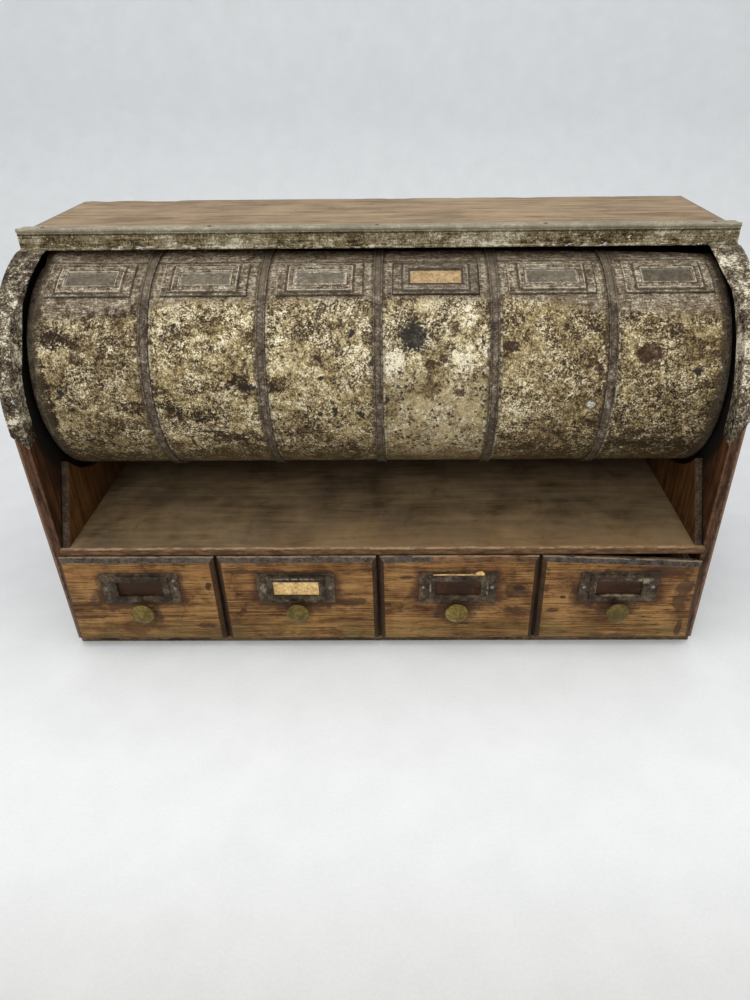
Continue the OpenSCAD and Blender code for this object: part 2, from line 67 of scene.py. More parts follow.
# The sides' quarter round and the drum, whose axes both run along x
CURVE_Y, CURVE_Z, CURVE_RADIUS = 4.25, 161.0, 79.5
DRUM_Y, DRUM_Z, DRUM_RADIUS = 2.75, 168.5, 64.0
DRUM_MIDDLE_X = 0.7
BIN_PITCH = 386.0 / 6
LABEL_ANGLE = 64.0
FRONT_Y = -76.75
HOLDER_Z, HOLDER_HALF_W, HOLDER_HALF_H = 49.8, 23.2, 9.2


# Shader maths

def _maths(operation: str, swapped: bool = False) -> Callable[..., "Wire"]:
    """A method of Wire that adds the Math or Vector Math node of an operation.

    Args:
        operation: the node's operation.
        swapped: whether the other value comes first.

    Returns:
        The method, which takes another wire or a number, or nothing.
    """
    def method(self: "Wire", *other: object) -> "Wire":
        """Adds the node."""
        kind = "ShaderNodeVectorMath" if self.socket.type == "VECTOR" else "ShaderNodeMath"
        terms = (*other, self) if swapped else (self, *other)
        return self.shader.node(kind, {"operation": operation}, dict(enumerate(terms)))
    return method


class Wire:
    """One output of a shader node. Arithmetic on it adds Math or Vector Math nodes."""

    __add__, __radd__ = _maths("ADD"), _maths("ADD", True)
    __sub__, __rsub__ = _maths("SUBTRACT"), _maths("SUBTRACT", True)
    __mul__, __rmul__ = _maths("MULTIPLY"), _maths("MULTIPLY", True)
    __truediv__, __rtruediv__ = _maths("DIVIDE"), _maths("DIVIDE", True)
    __abs__, fract, root = _maths("ABSOLUTE"), _maths("FRACT"), _maths("SQRT")
    low, high = _maths("MINIMUM"), _maths("MAXIMUM")

    def __init__(self, shader: "Shader", socket: bpy.types.NodeSocket) -> None:
        """Keeps the shader and the socket that the value comes from."""
        self.shader = shader
        self.socket = socket

    def __neg__(self) -> "Wire":
        """Opposite."""
        return self * -1.0

    def swing(self, width: float) -> "Wire":
        """How far noise is from 0.5, widened."""
        return (self - 0.5) * width

    def span(self, other: "Wire") -> "Wire":
        """Length of the diagonal over two lengths at right angles."""
        return (self * self + other * other).root()

    def _step(self, start: float, end: float, first: float, last: float) -> "Wire":
        """Smooth step from the first value at start to the last at end."""
        return self.shader.node("ShaderNodeMapRange", {"interpolation_type": "SMOOTHSTEP"}, {
            "Value": self, "From Min": start, "From Max": end, "To Min": first, "To Max": last})

    def rise(self, start: float, end: float) -> "Wire":
        """Smooth step from 0 at start to 1 at end."""
        return self._step(start, end, 0.0, 1.0)

    def fall(self, start: float, end: float) -> "Wire":
        """Smooth step from 1 at start to 0 at end."""
        return self._step(start, end, 1.0, 0.0)

    def near(self, middle: float, reach: float, soft: float) -> "Wire":
        """1 within reach of middle, falling to 0 over soft."""
        return abs(self - middle).fall(reach, reach + soft)


class Shader:
    """Builds one material from nodes, one coat of colour over another."""

    def __init__(self, name: str, seed: float = 0.0,
                 box: tuple[Vector, Vector] = (Vector(), Vector())) -> None:
        """Makes an empty material.

        Args:
            name: its name.
            seed: shifts its patterns.
            box: the lowest and the highest corner of its solid, in metres.
        """
        self.material = bpy.data.materials.new(name)
        self.material.use_nodes = True
        self.nodes = self.material.node_tree.nodes
        self.links = self.material.node_tree.links
        self.nodes.clear()
        self.seed = seed
        self.low, self.high = ([at * 1000 for at in corner] for corner in box)
        self.place = self.node("ShaderNodeTexCoord", {}, {}, "Object") * 1000.0
        self.colour: Wire | None = None

    def node(self, kind: str, settings: dict[str, object], values: dict[object, object],
             out: int | str | None = 0) -> Wire | None:
        """Adds a node.

        Args:
            kind: the node's type.
            settings: its own properties, and a ramp's "stops" and "interpolation".
            values: numbers, colours or wires for its sockets, by name or place.
            out: the output that is wanted, or None.

        Returns:
            The wire that leaves that output, if one is wanted.
        """
        made = self.nodes.new(kind)
        for name, value in settings.items():
            if name == "stops":
                self._set_stops(made.color_ramp, value)
            else:
                setattr(made.color_ramp if name == "interpolation" else made, name, value)
        for place, value in values.items():
            socket = made.inputs[place]
            if isinstance(value, Wire):
                self.links.new(value.socket, socket)
            elif socket.type == "RGBA":
                socket.default_value = (*value, 1.0)
            elif socket.type == "VECTOR" and isinstance(value, (int, float)):
                socket.default_value = (value, value, value)
            else:
                socket.default_value = value
        return None if out is None else Wire(self, made.outputs[out])

    @staticmethod
    def _set_stops(ramp: bpy.types.ColorRamp, stops: Stops) -> None:
        """Gives a ramp its stops.

        Args:
            ramp: the ramp.
            stops: its stops.
        """
        while len(ramp.elements) > 1:
            ramp.elements.remove(ramp.elements[-1])
        ramp.elements[0].position = stops[0][0]
        ramp.elements[0].color = (*stops[0][1:], 1.0)
        for place, *colour in stops[1:]:
            ramp.elements.new(place).color = (*colour, 1.0)

    def split(self, vector: Wire, kind: str = "ShaderNodeSeparateXYZ") -> tuple[Wire, ...]:
        """The three parts of a vector or, with another kind of node, of a colour."""
        outputs = self.node(kind, {}, {0: vector}).socket.node.outputs
        return tuple(Wire(self, output) for output in outputs)

    def join(self, x: Wire, y: Wire) -> Wire:
        """A flat vector from its first two parts."""
        return self.node("ShaderNodeCombineXYZ", {}, {0: x, 1: y, 2: 0.0})

    def facing(self) -> tuple[Wire, ...]:
        """The three parts of the surface's direction in the piece's own coordinates."""
        return self.split(self.node("ShaderNodeTexCoord", {}, {}, "Normal"))

    def edge_distance(self) -> Wire:
        """Measures how far a point on the faces of the solid's box is from its edges.

        Returns:
            The distance to the nearest edge.
        """
        sides = [(part - low).low(high - part)
                 for part, low, high in zip(self.split(self.place), self.low, self.high)]
        return sides[0].low(sides[1]).high(sides[0].high(sides[1]).low(sides[2]))

    def noise(self, size: float, detail: float, rough: float, bend: float = 0.0, shift: float = 0.0,
              place: Wire | None = None) -> Wire:
        """Noise whose features are about that many millimetres across.

        Args:
            size: feature size.
            detail: octaves past the first.
            rough: weight of the finer octaves.
            bend: distortion.
            shift: what tells it from the shader's other noises.
            place: its coordinates, if they aren't the shader's own.

        Returns:
            Values from 0 to 1 about 0.5.
        """
        seed = self.seed + shift
        moved = (self.place if place is None else place) + (seed * 7.31, seed * 3.17, seed * 5.53)
        return self.node("ShaderNodeTexNoise", {}, {
            "Vector": moved, "Scale": 1.0 / size, "Detail": detail, "Roughness": rough,
            "Distortion": bend})

    def mottle(self, layers: Layers, shift: float = 0.0) -> Wire:
        """Sum of noises about 0.5, one for each layer.

        Args:
            layers: the feature size and the weight of each noise.
            shift: what tells it from the shader's other noises.

        Returns:
            The sum.
        """
        parts = [self.noise(size, 3, 0.68, 0.3, shift + step * 0.37).swing(weight)
                 for step, (size, weight) in enumerate(layers)]
        return sum(parts[1:], parts[0]) + 0.5

    def cells(self, size: float, shift: float) -> Wire:
        """Distance to the nearest of scattered points, as a share of their spacing."""
        moved = self.place + (shift * 2.77, shift * 6.1, shift * 1.9)
        return self.node("ShaderNodeTexVoronoi", {}, {"Vector": moved, "Scale": 1.0 / size})

    def stains(self, marks: Marks, ragged: Wire, place: Wire | None = None) -> Wire:
        """Where any of some stains lies.

        Args:
            marks: the stains.
            ragged: noise that roughens their edges.
            place: their coordinates, if they aren't the shader's own.

        Returns:
            1 in a stain and 0 outside.
        """
        nearest: Wire | None = None
        for x, y, half_w, half_h in marks:
            scale = (1.0 / half_w, 1.0 / half_h, 0.0)
            moved = self.node("ShaderNodeVectorMath", {"operation": "MULTIPLY_ADD"}, {
                0: self.place if place is None else place, 1: scale,
                2: (-x * scale[0], -y * scale[1], 0.0)})
            away = self.node("ShaderNodeVectorMath", {"operation": "LENGTH"}, {0: moved}, "Value")
            nearest = away if nearest is None else nearest.low(away)
        return (nearest + ragged.swing(2.2)).fall(0.65, 1.15)

    def ramp(self, value: Wire, stops: Stops, interpolation: str = "LINEAR") -> Wire:
        """A colour picked by a number."""
        settings = {"stops": stops, "interpolation": interpolation}
        return self.node("ShaderNodeValToRGB", settings, {0: value})

    def mix(self, amount: object, first: object, second: object, blend: str = "MIX") -> Wire:
        """A colour between two colours."""
        settings = {"data_type": "RGBA", "blend_type": blend}
        return self.node("ShaderNodeMix", settings, {0: amount, 6: first, 7: second}, 2)

    def tint(self, colour: Wire, amount: Wire) -> Wire:
        """A colour made lighter or darker by a number."""
        settings = {"operation": "SCALE"}
        return self.node("ShaderNodeVectorMath", settings, {0: colour, "Scale": amount})

    def cover(self, amount: Wire, colour: object) -> None:
        """Lays a coat of another colour over what is there."""
        self.colour = self.mix(amount, self.colour, colour)

    def dress(self, height: Wire, depth: float, roughness: object, metallic: object = 0.0,
              shine: float = 0.12) -> None:
        """Closes the material with its colour.

        Args:
            height: relief, from 0 to 1.
            depth: millimetres between relief 0 and 1.
            roughness: roughness.
            metallic: metallic.
            shine: specular level.
        """
        bump = self.node("ShaderNodeBump", {}, {"Height": height, "Distance": depth * MM,
                                                "Strength": 1.0})
        closed = self.node("ShaderNodeBsdfPrincipled", {}, {
            "Base Color": self.colour, "Roughness": roughness, "Metallic": metallic,
            "Specular IOR Level": shine, "Normal": bump})
        self.node("ShaderNodeOutputMaterial", {}, {0: closed}, None)


# Coats and finishes

class Along(Enum):
    """The way that a board's grain runs."""

    X = 0
    Y = 1
    Z = 2


class Coats(Shader):
    """The coats of one solid's material, after a finish."""

    def __init__(self, look: "Finish", node: str, seed: float) -> None:
        """Lays the material of a solid.

        Args:
            look: the finish.
            node: the solid.
            seed: shifts the patterns.
        """
        super().__init__(f"{look.name}_{node}", seed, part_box(node))
        self.look = look
        self.lay()

    def lay(self) -> None:
        """Lays the coats and closes the material."""
        raise NotImplementedError


class WoodCoats(Coats):
    """Varnished wood with its grain, its age and worn edges."""

    def drawn(self, ratio: float) -> Wire:
        """Coordinates in which features get longer along the grain by that ratio."""
        scale = (1.0 / ratio if axis == self.look.grain.value else 1.0 for axis in range(3))
        return self.place * tuple(scale)

    def ground(self) -> Wire:
        """Lays the grain.

        Returns:
            The relief, from 0 to 1.
        """
        look = self.look
        lines = self.noise(1, 4, 0.72, 0, 0, self.drawn(34))
        bands = self.noise(5, 3, 0.6, 0.7, 1, self.drawn(11))
        cloud = self.noise(33, 4, 0.6, 0.3, 2)
        hair = self.noise(0.55, 2, 0.6, 0, 3, self.drawn(12))
        tone = lines.swing(look.lines) + bands.swing(look.bands) + cloud.swing(look.cloud) + 0.5
        self.colour = self.ramp(tone, ((0.2, *look.dark), (0.5, *look.middle), (0.82, *look.pale)))
        open_pores = hair.rise(0.57, 0.68) * bands.fall(0.42, 0.62) * look.pores
        self.cover(open_pores, tuple(c * 0.35 for c in look.dark))
        return lines * 0.8 + hair * 0.3 - open_pores * 0.7

    def age(self) -> None:
        """Lays stains and, on what faces up, dust."""
        spots = self.noise(16, 5, 0.7, 0.8, 4).rise(0.55, 0.72) * self.look.stain
        self.cover(spots, tuple(c * 0.5 for c in self.look.dark))
        if self.look.dust > 0:
            up = self.facing()[2].rise(0.5, 0.9)
            drift = self.noise(30, 5, 0.7, 0, 5).rise(0.3, 0.7)
            self.cover(up * drift * self.look.dust, self.look.dust_tone)

    def close(self, height: Wire, depth: float = 0.16) -> None:
        """Closes the material with the wood's own sheen."""
        self.dress(height, depth, 0.6, shine=self.look.shine)

    def lay(self) -> None:
        """Lays the coats of one board, with worn edges."""
        height = self.ground()
        self.age()
        edge = self.edge_distance() - self.noise(5, 4, 0.72, 0, 6).swing(7)
        self.cover(edge.fall(self.look.rub * 0.3, self.look.rub) * 0.7, self.look.worn)
        self.close(height)


class FrontCoats(WoodCoats):
    """A drawer front with grimy bevels, knots, a dull lower part and a dirty middle."""

    def lay(self) -> None:
        """Lays the coats of one drawer front."""
        x, y, z = self.split(self.place)
        flat = self.join(x, z)
        height = self.ground()
        flecks = self.noise(1.1, 3, 0.65, 0.4, 8, self.drawn(4.5)).rise(0.57, 0.68)
        self.cover(flecks * 0.5, (0.06, 0.025, 0.009))
        self.age()
        above_foot = z - self.low[2]
        haze = above_foot.fall(3, 26) * self.noise(20, 4, 0.62, 0, 9).rise(0.3, 0.7)
        self.cover(haze * 0.7, (0.162, 0.115, 0.04))
        ruddy = (self.high[2] - z).fall(8, 34) * self.noise(12, 4, 0.66, 0.4, 13).rise(0.4, 0.62)
        self.cover(ruddy * 0.5, (0.27, 0.125, 0.04))
        wine = self.noise(9, 4, 0.7, 0.6, 14, self.drawn(2.5)).rise(0.56, 0.68)
        self.cover(wine * 0.5, (0.075, 0.026, 0.012))
        ragged = self.noise(3.4, 4, 0.72, 0, 10, flat)
        dirty = self.stains(self.look.grime, self.noise(9, 4, 0.7, 0, 7, flat), flat)
        self.cover(dirty * 0.74, (0.042, 0.02, 0.012))
        self.halo(x, z, flat)
        self.cover(self.stains(self.look.knots, ragged, flat) * 0.85, (0.03, 0.015, 0.009))
        # Bevels by the way they face: grey dust above, painted shade at the ends and below
        nx, _, nz = self.facing()
        fine = ragged.swing(0.5)
        above = (nz + fine).rise(0.12, 0.4)
        shaded_end_bevels = (abs(nx) + fine).rise(0.12, 0.4)
        shaded_lower_bevel = (-nz + fine).rise(0.2, 0.5)
        soot = self.ramp(self.mottle(((6, 1.4), (1.6, 1.4)), 11), (
            (0.25, 0.018, 0.015, 0.012), (0.55, 0.062, 0.056, 0.05), (0.85, 0.105, 0.09, 0.072)))
        wiped = (x + ragged.swing(40)).rise(self.look.soot_end - 4, self.look.soot_end + 4)
        dusty = self.mix(wiped * 0.75, soot, self.colour)
        # Painted shade on the lower bevel and on the end bevels, which face the gaps between the
        # fronts
        self.cover(shaded_lower_bevel * 0.75, (0.04, 0.027, 0.014))
        self.cover(shaded_end_bevels * 0.85, (0.032, 0.018, 0.011))
        self.cover(above * 0.93, dusty)
        # A broken dark line along the lower arris, and the arrises behind and around that are
        # rubbed bare
        seam = above_foot.fall(0.6, 2.6) * (1.0 - shaded_lower_bevel) * 0.7
        broken = self.noise(6, 3, 0.7, 0, 15, self.drawn(2)).rise(0.4, 0.6)
        self.cover(seam * broken, (0.05, 0.036, 0.02))
        glow = self.noise(2.4, 3, 0.72, 0, 12, self.drawn(5))
        behind = (y - FRONT_Y + ragged.swing(1)).rise(-0.5, -0.1)
        ridge = behind * (nz + 0.1).rise(0.3, 0.5) * glow.rise(0.4, 0.5)
        self.cover(ridge * 0.6, (0.4, 0.28, 0.17))
        arris = above.near(0.5, 0.2, 0.25).high(shaded_end_bevels.near(0.5, 0.2, 0.25)) * glow.rise(0.45, 0.62)
        self.cover(arris * 0.5, (0.3, 0.18, 0.085))
        self.dress(height, 0.16, 0.55)

    def halo(self, x: Wire, z: Wire, flat: Wire) -> None:
        """Lays the dirt round the label holder, more of it below.

        Args:
            x: the place across.
            z: the place up.
            flat: both as a vector.
        """
        beside = (abs(x - self.look.holder_x) - HOLDER_HALF_W).high(0)
        over = (abs(z - HOLDER_Z) - HOLDER_HALF_H).high(0)
        away = beside.span(over) + (HOLDER_Z - z).rise(-6, 6) * -1.6
        dirt = (away + self.noise(7, 4, 0.7, 0.3, 17, flat).swing(11)).fall(0.8, 6.4)
        self.cover(dirt * 0.76, (0.05, 0.02, 0.011))


class SideCoats(WoodCoats):
    """A side panel, worn along the curved front edge, with painted shade beside the drum."""

    def lay(self) -> None:
        """Lays the coats of one side panel."""
        x, y, z = self.split(self.place)
        height = self.ground()
        self.age()
        from_front = CURVE_RADIUS - (CURVE_Y - y).high(0).span((z - CURVE_Z).high(0))
        across = (x - self.low[0]).low(self.high[0] - x)
        chips = self.noise(4, 4, 0.72, 0, 6)
        edge = from_front.high(across) - chips.swing(6)
        self.cover(edge.fall(0.3, self.look.rub) * 0.7, self.look.worn)
        on_edge = from_front.fall(0.5, 0.9)
        dull = self.noise(4, 5, 0.72, 0, 7, self.drawn(4))
        self.cover(on_edge * dull.rise(0.4, 0.62) * 0.5, self.look.worn)
        self.cover(on_edge * dull.fall(0.36, 0.5) * 0.8, (0.018, 0.009, 0.005))
        bare = on_edge * (202.4 - abs(x) + chips.swing(4)).fall(0.3, 1.6)
        self.cover(bare * 0.7, (0.24, 0.15, 0.1))
        # Painted shade: the inner face beside the drum is made nearly black, where the gap lies in
        # shade
        drum_gap_shade = (y - DRUM_Y).span(z - DRUM_Z).fall(70, 76) * (abs(x) - 196).fall(0.2, 1)
        self.cover(drum_gap_shade * 0.97, (0.006, 0.005, 0.004))
        self.close(height)


class ShelfCoats(WoodCoats):
    """The shelf, warmer at the front, with a red-brown edge, a pale arris, and painted shade
    towards the back and along the lower edge of the front.
    """

    def lay(self) -> None:
        """Lays the coats of the shelf."""
        x, y, z = self.split(self.place)
        behind_edge = y - self.low[1]
        height = self.ground()
        wide = self.noise(14, 4, 0.62, 0.6, 8, self.drawn(3))
        warmth = (behind_edge + wide.swing(60)).fall(4, 46) * (x + 60).rise(-120, 120)
        self.cover(warmth * 0.55, (0.27, 0.155, 0.06))
        self.cover(wide.fall(0.3, 0.46) * 0.45, self.look.dark)
        # Painted shade towards the back of the shelf, under the drum
        self.cover((y + wide.swing(30)).rise(0, 50) * 0.6, (0.045, 0.029, 0.014))
        self.age()
        specks = self.noise(1.6, 3, 0.6, 0.3, 9).rise(0.7, 0.76)
        self.cover(specks * 0.6, (0.5, 0.44, 0.33))
        ahead = (-self.facing()[1]).rise(0.4, 0.7)
        chips = self.noise(2.2, 4, 0.72, 0, 6, self.drawn(4))
        self.cover(ahead * 0.92, self.ramp(chips, (
            (0.32, 0.03, 0.015, 0.008), (0.5, 0.098, 0.05, 0.024), (0.68, 0.2, 0.11, 0.055))))
        arris = (self.high[2] - z).high(behind_edge) + chips.swing(5)
        self.cover(arris.fall(0.3, 1.2) * 0.75, self.look.worn)
        # Painted shade along the lower edge of the front
        self.cover((z - self.low[2]).fall(0.4, 1.4) * ahead * 0.8, (0.02, 0.012, 0.007))
        self.close(height, 0.12)


class LinerCoats(WoodCoats):
    """A liner, grey on the slanting front edge with a dark line beside the side."""

    def lay(self) -> None:
        """Lays the coats of one liner."""
        height = self.ground()
        self.age()
        ahead = (-self.facing()[1]).rise(0.4, 0.7)
        self.cover(ahead * 0.85, self.ramp(self.mottle(((7, 1.2), (1.3, 1.4)), 8), (
            (0.25, 0.012, 0.008, 0.005), (0.55, 0.042, 0.031, 0.02), (0.85, 0.1, 0.08, 0.054))))
        outer = (196 - abs(self.split(self.place)[0])).fall(0.5, 1.1)
        self.cover(outer * ahead, (0.008, 0.006, 0.004))
        self.close(height)


class DrumCoats(Coats):
    """Tin of the drum, in coordinates unrolled from its curve."""

    along: Wire
    angle: Wire
    bins: Wire
    kinds: Stops = ()

    def unroll(self) -> None:
        """Lays the place out flat and keeps the angle in degrees and the bins passed so far."""
        x, y, z = self.split(self.place)
        self.along = x - DRUM_MIDDLE_X
        turn = self.node("ShaderNodeMath", {"operation": "ARCTAN2"}, {0: z - DRUM_Z, 1: DRUM_Y - y})
        self.place = self.join(self.along, turn * DRUM_RADIUS)
        self.angle = turn * (180.0 / math.pi)
        self.bins = (self.along + 3 * BIN_PITCH) / BIN_PITCH

    def by_bin(self) -> tuple[Wire, ...]:
        """Three numbers picked by the bin, from rows that start with their first bin."""
        stops = tuple((first / 6, *numbers) for first, *numbers in self.kinds)
        return self.split(self.ramp(self.bins / 6.0, stops, "CONSTANT"), "ShaderNodeSeparateColor")

    def across(self) -> Wire:
        """How far a point is across from the middle of its bin."""
        return (self.bins.fract() - 0.5) * BIN_PITCH

    def above_label(self) -> Wire:
        """How far a point is up from the middle of the labels."""
        return (self.angle - LABEL_ANGLE) * (math.pi / 180.0 * DRUM_RADIUS)

    def band(self, shift: float) -> Wire:
        """The browner tin round the label holders, with thin rubbed streaks.

        Args:
            shift: what tells it from the shader's other patterns.

        Returns:
            The colour.
        """
        streaks = self.noise(1, 3, 0.7, 0.4, shift, self.place * (0.16, 1.0, 1.0)).swing(1.5)
        tone = self.mottle(((9, 1.2), (2.4, 1.5), (0.9, 1.7)), shift + 3) + streaks
        return self.ramp(tone, (
            (0.06, 0.038, 0.025, 0.015), (0.28, 0.108, 0.075, 0.047), (0.5, 0.182, 0.137, 0.09),
            (0.7, 0.275, 0.222, 0.152), (0.9, 0.55, 0.49, 0.37)))


class SheetCoats(DrumCoats):
    """The mottled sheet with its stains, whose second coordinate is an angle."""

    tones: Stops = (
        (0.04, 0.018, 0.011, 0.006), (0.2, 0.05, 0.032, 0.015), (0.36, 0.125, 0.088, 0.044),
        (0.5, 0.222, 0.17, 0.092), (0.64, 0.34, 0.272, 0.155), (0.8, 0.53, 0.455, 0.29),
        (0.96, 0.8, 0.74, 0.56))
    # Paleness, gold and pitting of the bins
    kinds: Stops = (
        (0, 0.42, 0.45, 0.3), (1, 0.5, 0.75, 0.4), (2, 0.62, 0.6, 0.75), (3, 0.72, 0.3, 0.9),
        (4, 0.5, 0.7, 0.3), (5, 0.4, 0.75, 0.2))
    black: Marks = (
        (20.3, 31.3, 9, 9.6), (-13.7, 33.1, 2.2, 2.2), (-2.3, 19, 2.2, 2.6), (-32.7, -8, 1.9, 1.7),
        (-24, -6.3, 1.8, 3), (-9, -8.4, 1.9, 2.4), (-23.3, -16.4, 1.8, 1.6),
        (-30.7, 11.3, 1.8, 1.6), (5, 0, 2.4, 2.8), (12.7, 13.7, 1.4, 1.6), (-70.7, 6.8, 4.6, 2.4),
        (-177, 4.5, 2.4, 2.2), (102.7, 17.9, 1.2, 1.8), (176, 13, 2.2, 2.6), (-97, -19, 9, 1),
        (-109, -29, 1, 4.6), (-111, 37, 1.6, 1.6))
    brown: Marks = (
        (149.3, 22.4, 8.4, 5.4), (45.7, 3.5, 3.6, 2.8), (30, 4.5, 6, 6), (29.5, 14.5, 2.6, 7),
        (-113, 33, 9, 7), (-165.7, 20.9, 4.6, 3.6), (74, 26, 4.6, 3.4), (-34, 19.4, 3.6, 3),
        (-56, 8, 7, 5), (-186, 34, 5, 16), (-150, 45, 20, 4), (118, 18, 4, 3), (-73, 10, 3, 16),
        (-90, -24, 14, 4))
    broken: Marks = (
        (-134, -3.5, 14, 4.6), (-117, -5, 7, 6), (-100, -9, 10, 4.6), (-76, 9, 6, 5),
        (-60, 7, 5, 4), (-176, 30, 12, 5), (-128, 12, 3.6, 20), (-186, 0, 4, 22))
    rust: Marks = (
        (149.3, 21.8, 9.8, 5.8), (74, 25, 3, 2.2), (46, 3.5, 3.6, 2.4), (122, 15, 3, 3.4),
        (-146, 22, 2.4, 2.4))
    chalk: Marks = ((119.4, -3.3, 2.5, 2.2), (127.5, 79, 1.8, 1.4))
    pale: Marks = (
        (-151, 40, 8, 3.4), (-55.5, 66, 2.8, 9), (-184, 62, 1.6, 8), (47, 20, 6, 9), (12, 22, 4, 7),
        (-186, 20, 5, 12), (-190, 2, 3, 14), (5, 17, 9, 10), (47, 10, 8, 9), (-140, -6, 14, 5),
        (-45, -2, 8, 4))

    def spots(self, marks: Marks, ragged: Wire) -> Wire:
        """Where any of some stains of the sheet lies."""
        return self.stains(tuple((x - DRUM_MIDDLE_X, math.radians(angle) * DRUM_RADIUS, *half)
                                 for x, angle, *half in marks), ragged)

    def lay(self) -> None:
        """Lays the coats of the sheet."""
        self.unroll()
        along, angle, off = self.along, self.angle, self.across()
        pale, gold, pitted = self.by_bin()
        cloud = self.noise(26, 4, 0.6, 0.6, 1)
        patch = self.noise(8, 4, 0.7, 0.7, 2)
        fine = self.noise(2.5, 3, 0.72, 0.4, 3)
        grain = self.noise(0.95, 3, 0.75, 0, 4)
        speck = self.noise(1.5, 2, 0.6, 0.5, 5, self.place * (1.0, 0.8, 1.0))
        calm = self.noise(17, 3, 0.6, 0.8, 17).rise(0.42, 0.6)
        tone = (cloud.swing(0.9) + patch.swing(1.6 - gold * 0.9)
                + fine.swing(1.7 + gold * 0.5 - calm)
                + grain.swing(2.5 + gold * 0.5 - calm * 1.3) + pale.swing(0.45) + 0.5)
        mild = patch * 0.5 + fine * 0.5
        brown = self.spots(self.brown, mild)
        white = self.spots(self.pale, mild)
        broken = self.spots(self.broken, patch * 0.6 + fine * 0.4)
        lower = angle.fall(30, -4)
        tail = (angle + patch.swing(18)).fall(-36, -12)
        tone = tone - brown * 0.26 - broken * 0.34 + white * 0.2 - tail * 0.16 + lower * pale * 0.06
        foot = angle.fall(-34, 10)
        tone = tone - foot * (1.0 - pale) * 0.12 - foot * along.rise(60, 130) * 0.1 - 0.02
        speckled = pitted.rise(0.8, 0.9) * angle.fall(2, 22)
        tone = tone + (0.6 - tone) * speckled * 0.45
        self.colour = self.ramp(tone, self.tones)
        golden = self.mix((gold * 0.6 + calm * 0.5).low(1.0), (1.0, 1.0, 1.04), (1.05, 1.0, 0.84))
        self.colour = self.mix(1.0, self.colour, golden, "MULTIPLY")
        flakes = speck.rise(0.6, 0.68) * (patch + cloud).rise(0.85, 1.1)
        self.cover(flakes * 0.75, (0.72, 0.66, 0.5))
        hollows = speck + patch.swing(0.55) + cloud.swing(0.3) - lower * pitted * 0.1
        pits = hollows.fall(0.29, 0.37)
        self.cover(pits * 0.88, (0.045, 0.03, 0.019))
        dots = (self.cells(3.6, 5) + grain.swing(0.5)).fall(0.24, 0.32)
        some = (self.noise(5, 2, 0.5, 0, 6) + speckled * 0.06).rise(0.48, 0.54)
        self.cover(dots * some * pitted * angle.fall(4, 26), (0.03, 0.019, 0.011))
        self.cover(brown * 0.22, (0.06, 0.036, 0.016))
        ragged = fine * 0.6 + grain * 0.4
        self.cover(self.spots(self.rust, ragged) * 0.88, self.ramp(fine, (
            (0.35, 0.022, 0.012, 0.007), (0.55, 0.075, 0.038, 0.02), (0.72, 0.16, 0.1, 0.06))))
        self.cover(self.spots(self.chalk, ragged) * 0.9,
                   self.mix(grain.rise(0.42, 0.5), (0.2, 0.17, 0.13), (0.66, 0.64, 0.56)))
        self.cover(self.spots(self.black, ragged) * 0.93, (0.02, 0.017, 0.014))
        border = self.border(off, patch, fine)
        # Dirt along the ribs and towards the drum's ends, a painted highlight beside the ribs, and
        # darker towards the foot
        rib = BIN_PITCH / 2 - abs(off)
        self.cover((rib + fine.swing(6)).fall(2.8, 5.4) * 0.66, (0.058, 0.039, 0.022))
        # Painted highlight along one side of each rib
        lit = rib.near(3.3, 0.3, 0.45) * off.fall(0, 1)
        self.cover(lit * fine.rise(0.46, 0.56) * angle.fall(40, 52) * 0.85, (0.5, 0.44, 0.3))
        rim = (3 * BIN_PITCH - abs(along) + patch.swing(9)).fall(4.2, 8.5)
        self.cover(rim * 0.82, (0.052, 0.037, 0.021))
        under = (angle + patch.swing(8)).fall(-52, -24)
        self.cover(under * 0.55, (0.075, 0.048, 0.017))
        bright = tone.rise(0.55, 0.85) * (1.0 - border)
        dents = self.noise(17, 2, 0.5, 0, 9)
        height = fine * 0.35 + grain * 0.22 + dents * 1.5 - pits * 0.35 + flakes * 0.2
        self.dress(height, 0.3, 0.62 - bright * 0.14, bright * 0.18)

    def border(self, off: Wire, patch: Wire, fine: Wire) -> Wire:
        """Lays the band round the label holders, with its fold, painted light towards the lip and
        painted shade under the fold.

        Args:
            off: the distance across from the middle of the bin.
            patch: noise for the band's wandering edge.
            fine: noise for its ragged edge.

        Returns:
            1 in the band and 0 outside.
        """
        angle = self.angle
        dip = (abs(self.along + 12) - 88).rise(0, 60) * 9
        border = (angle + dip + patch.swing(20) + fine.swing(14)).rise(48, 55)
        # Painted light: the band is lightened towards the lip, which lies in shade under the rail
        painted_lip_light = angle.rise(76, 92) * 0.55 + 1.0
        self.cover(border * 0.94, self.tint(self.band(8), painted_lip_light))
        upright = (27.6 - abs(off)).near(0, 0.4, 0.5) * angle.rise(52, 55)
        fold = angle.near(79.5, 0.35, 0.5).high(upright)
        self.cover(fold * fine.rise(0.46, 0.62) * 0.6, (0.42, 0.37, 0.28))
        # A dark line just under the fold: painted shade in its crease
        self.cover(angle.near(78.2, 0.5, 0.7) * 0.55, (0.045, 0.034, 0.024))
        return border


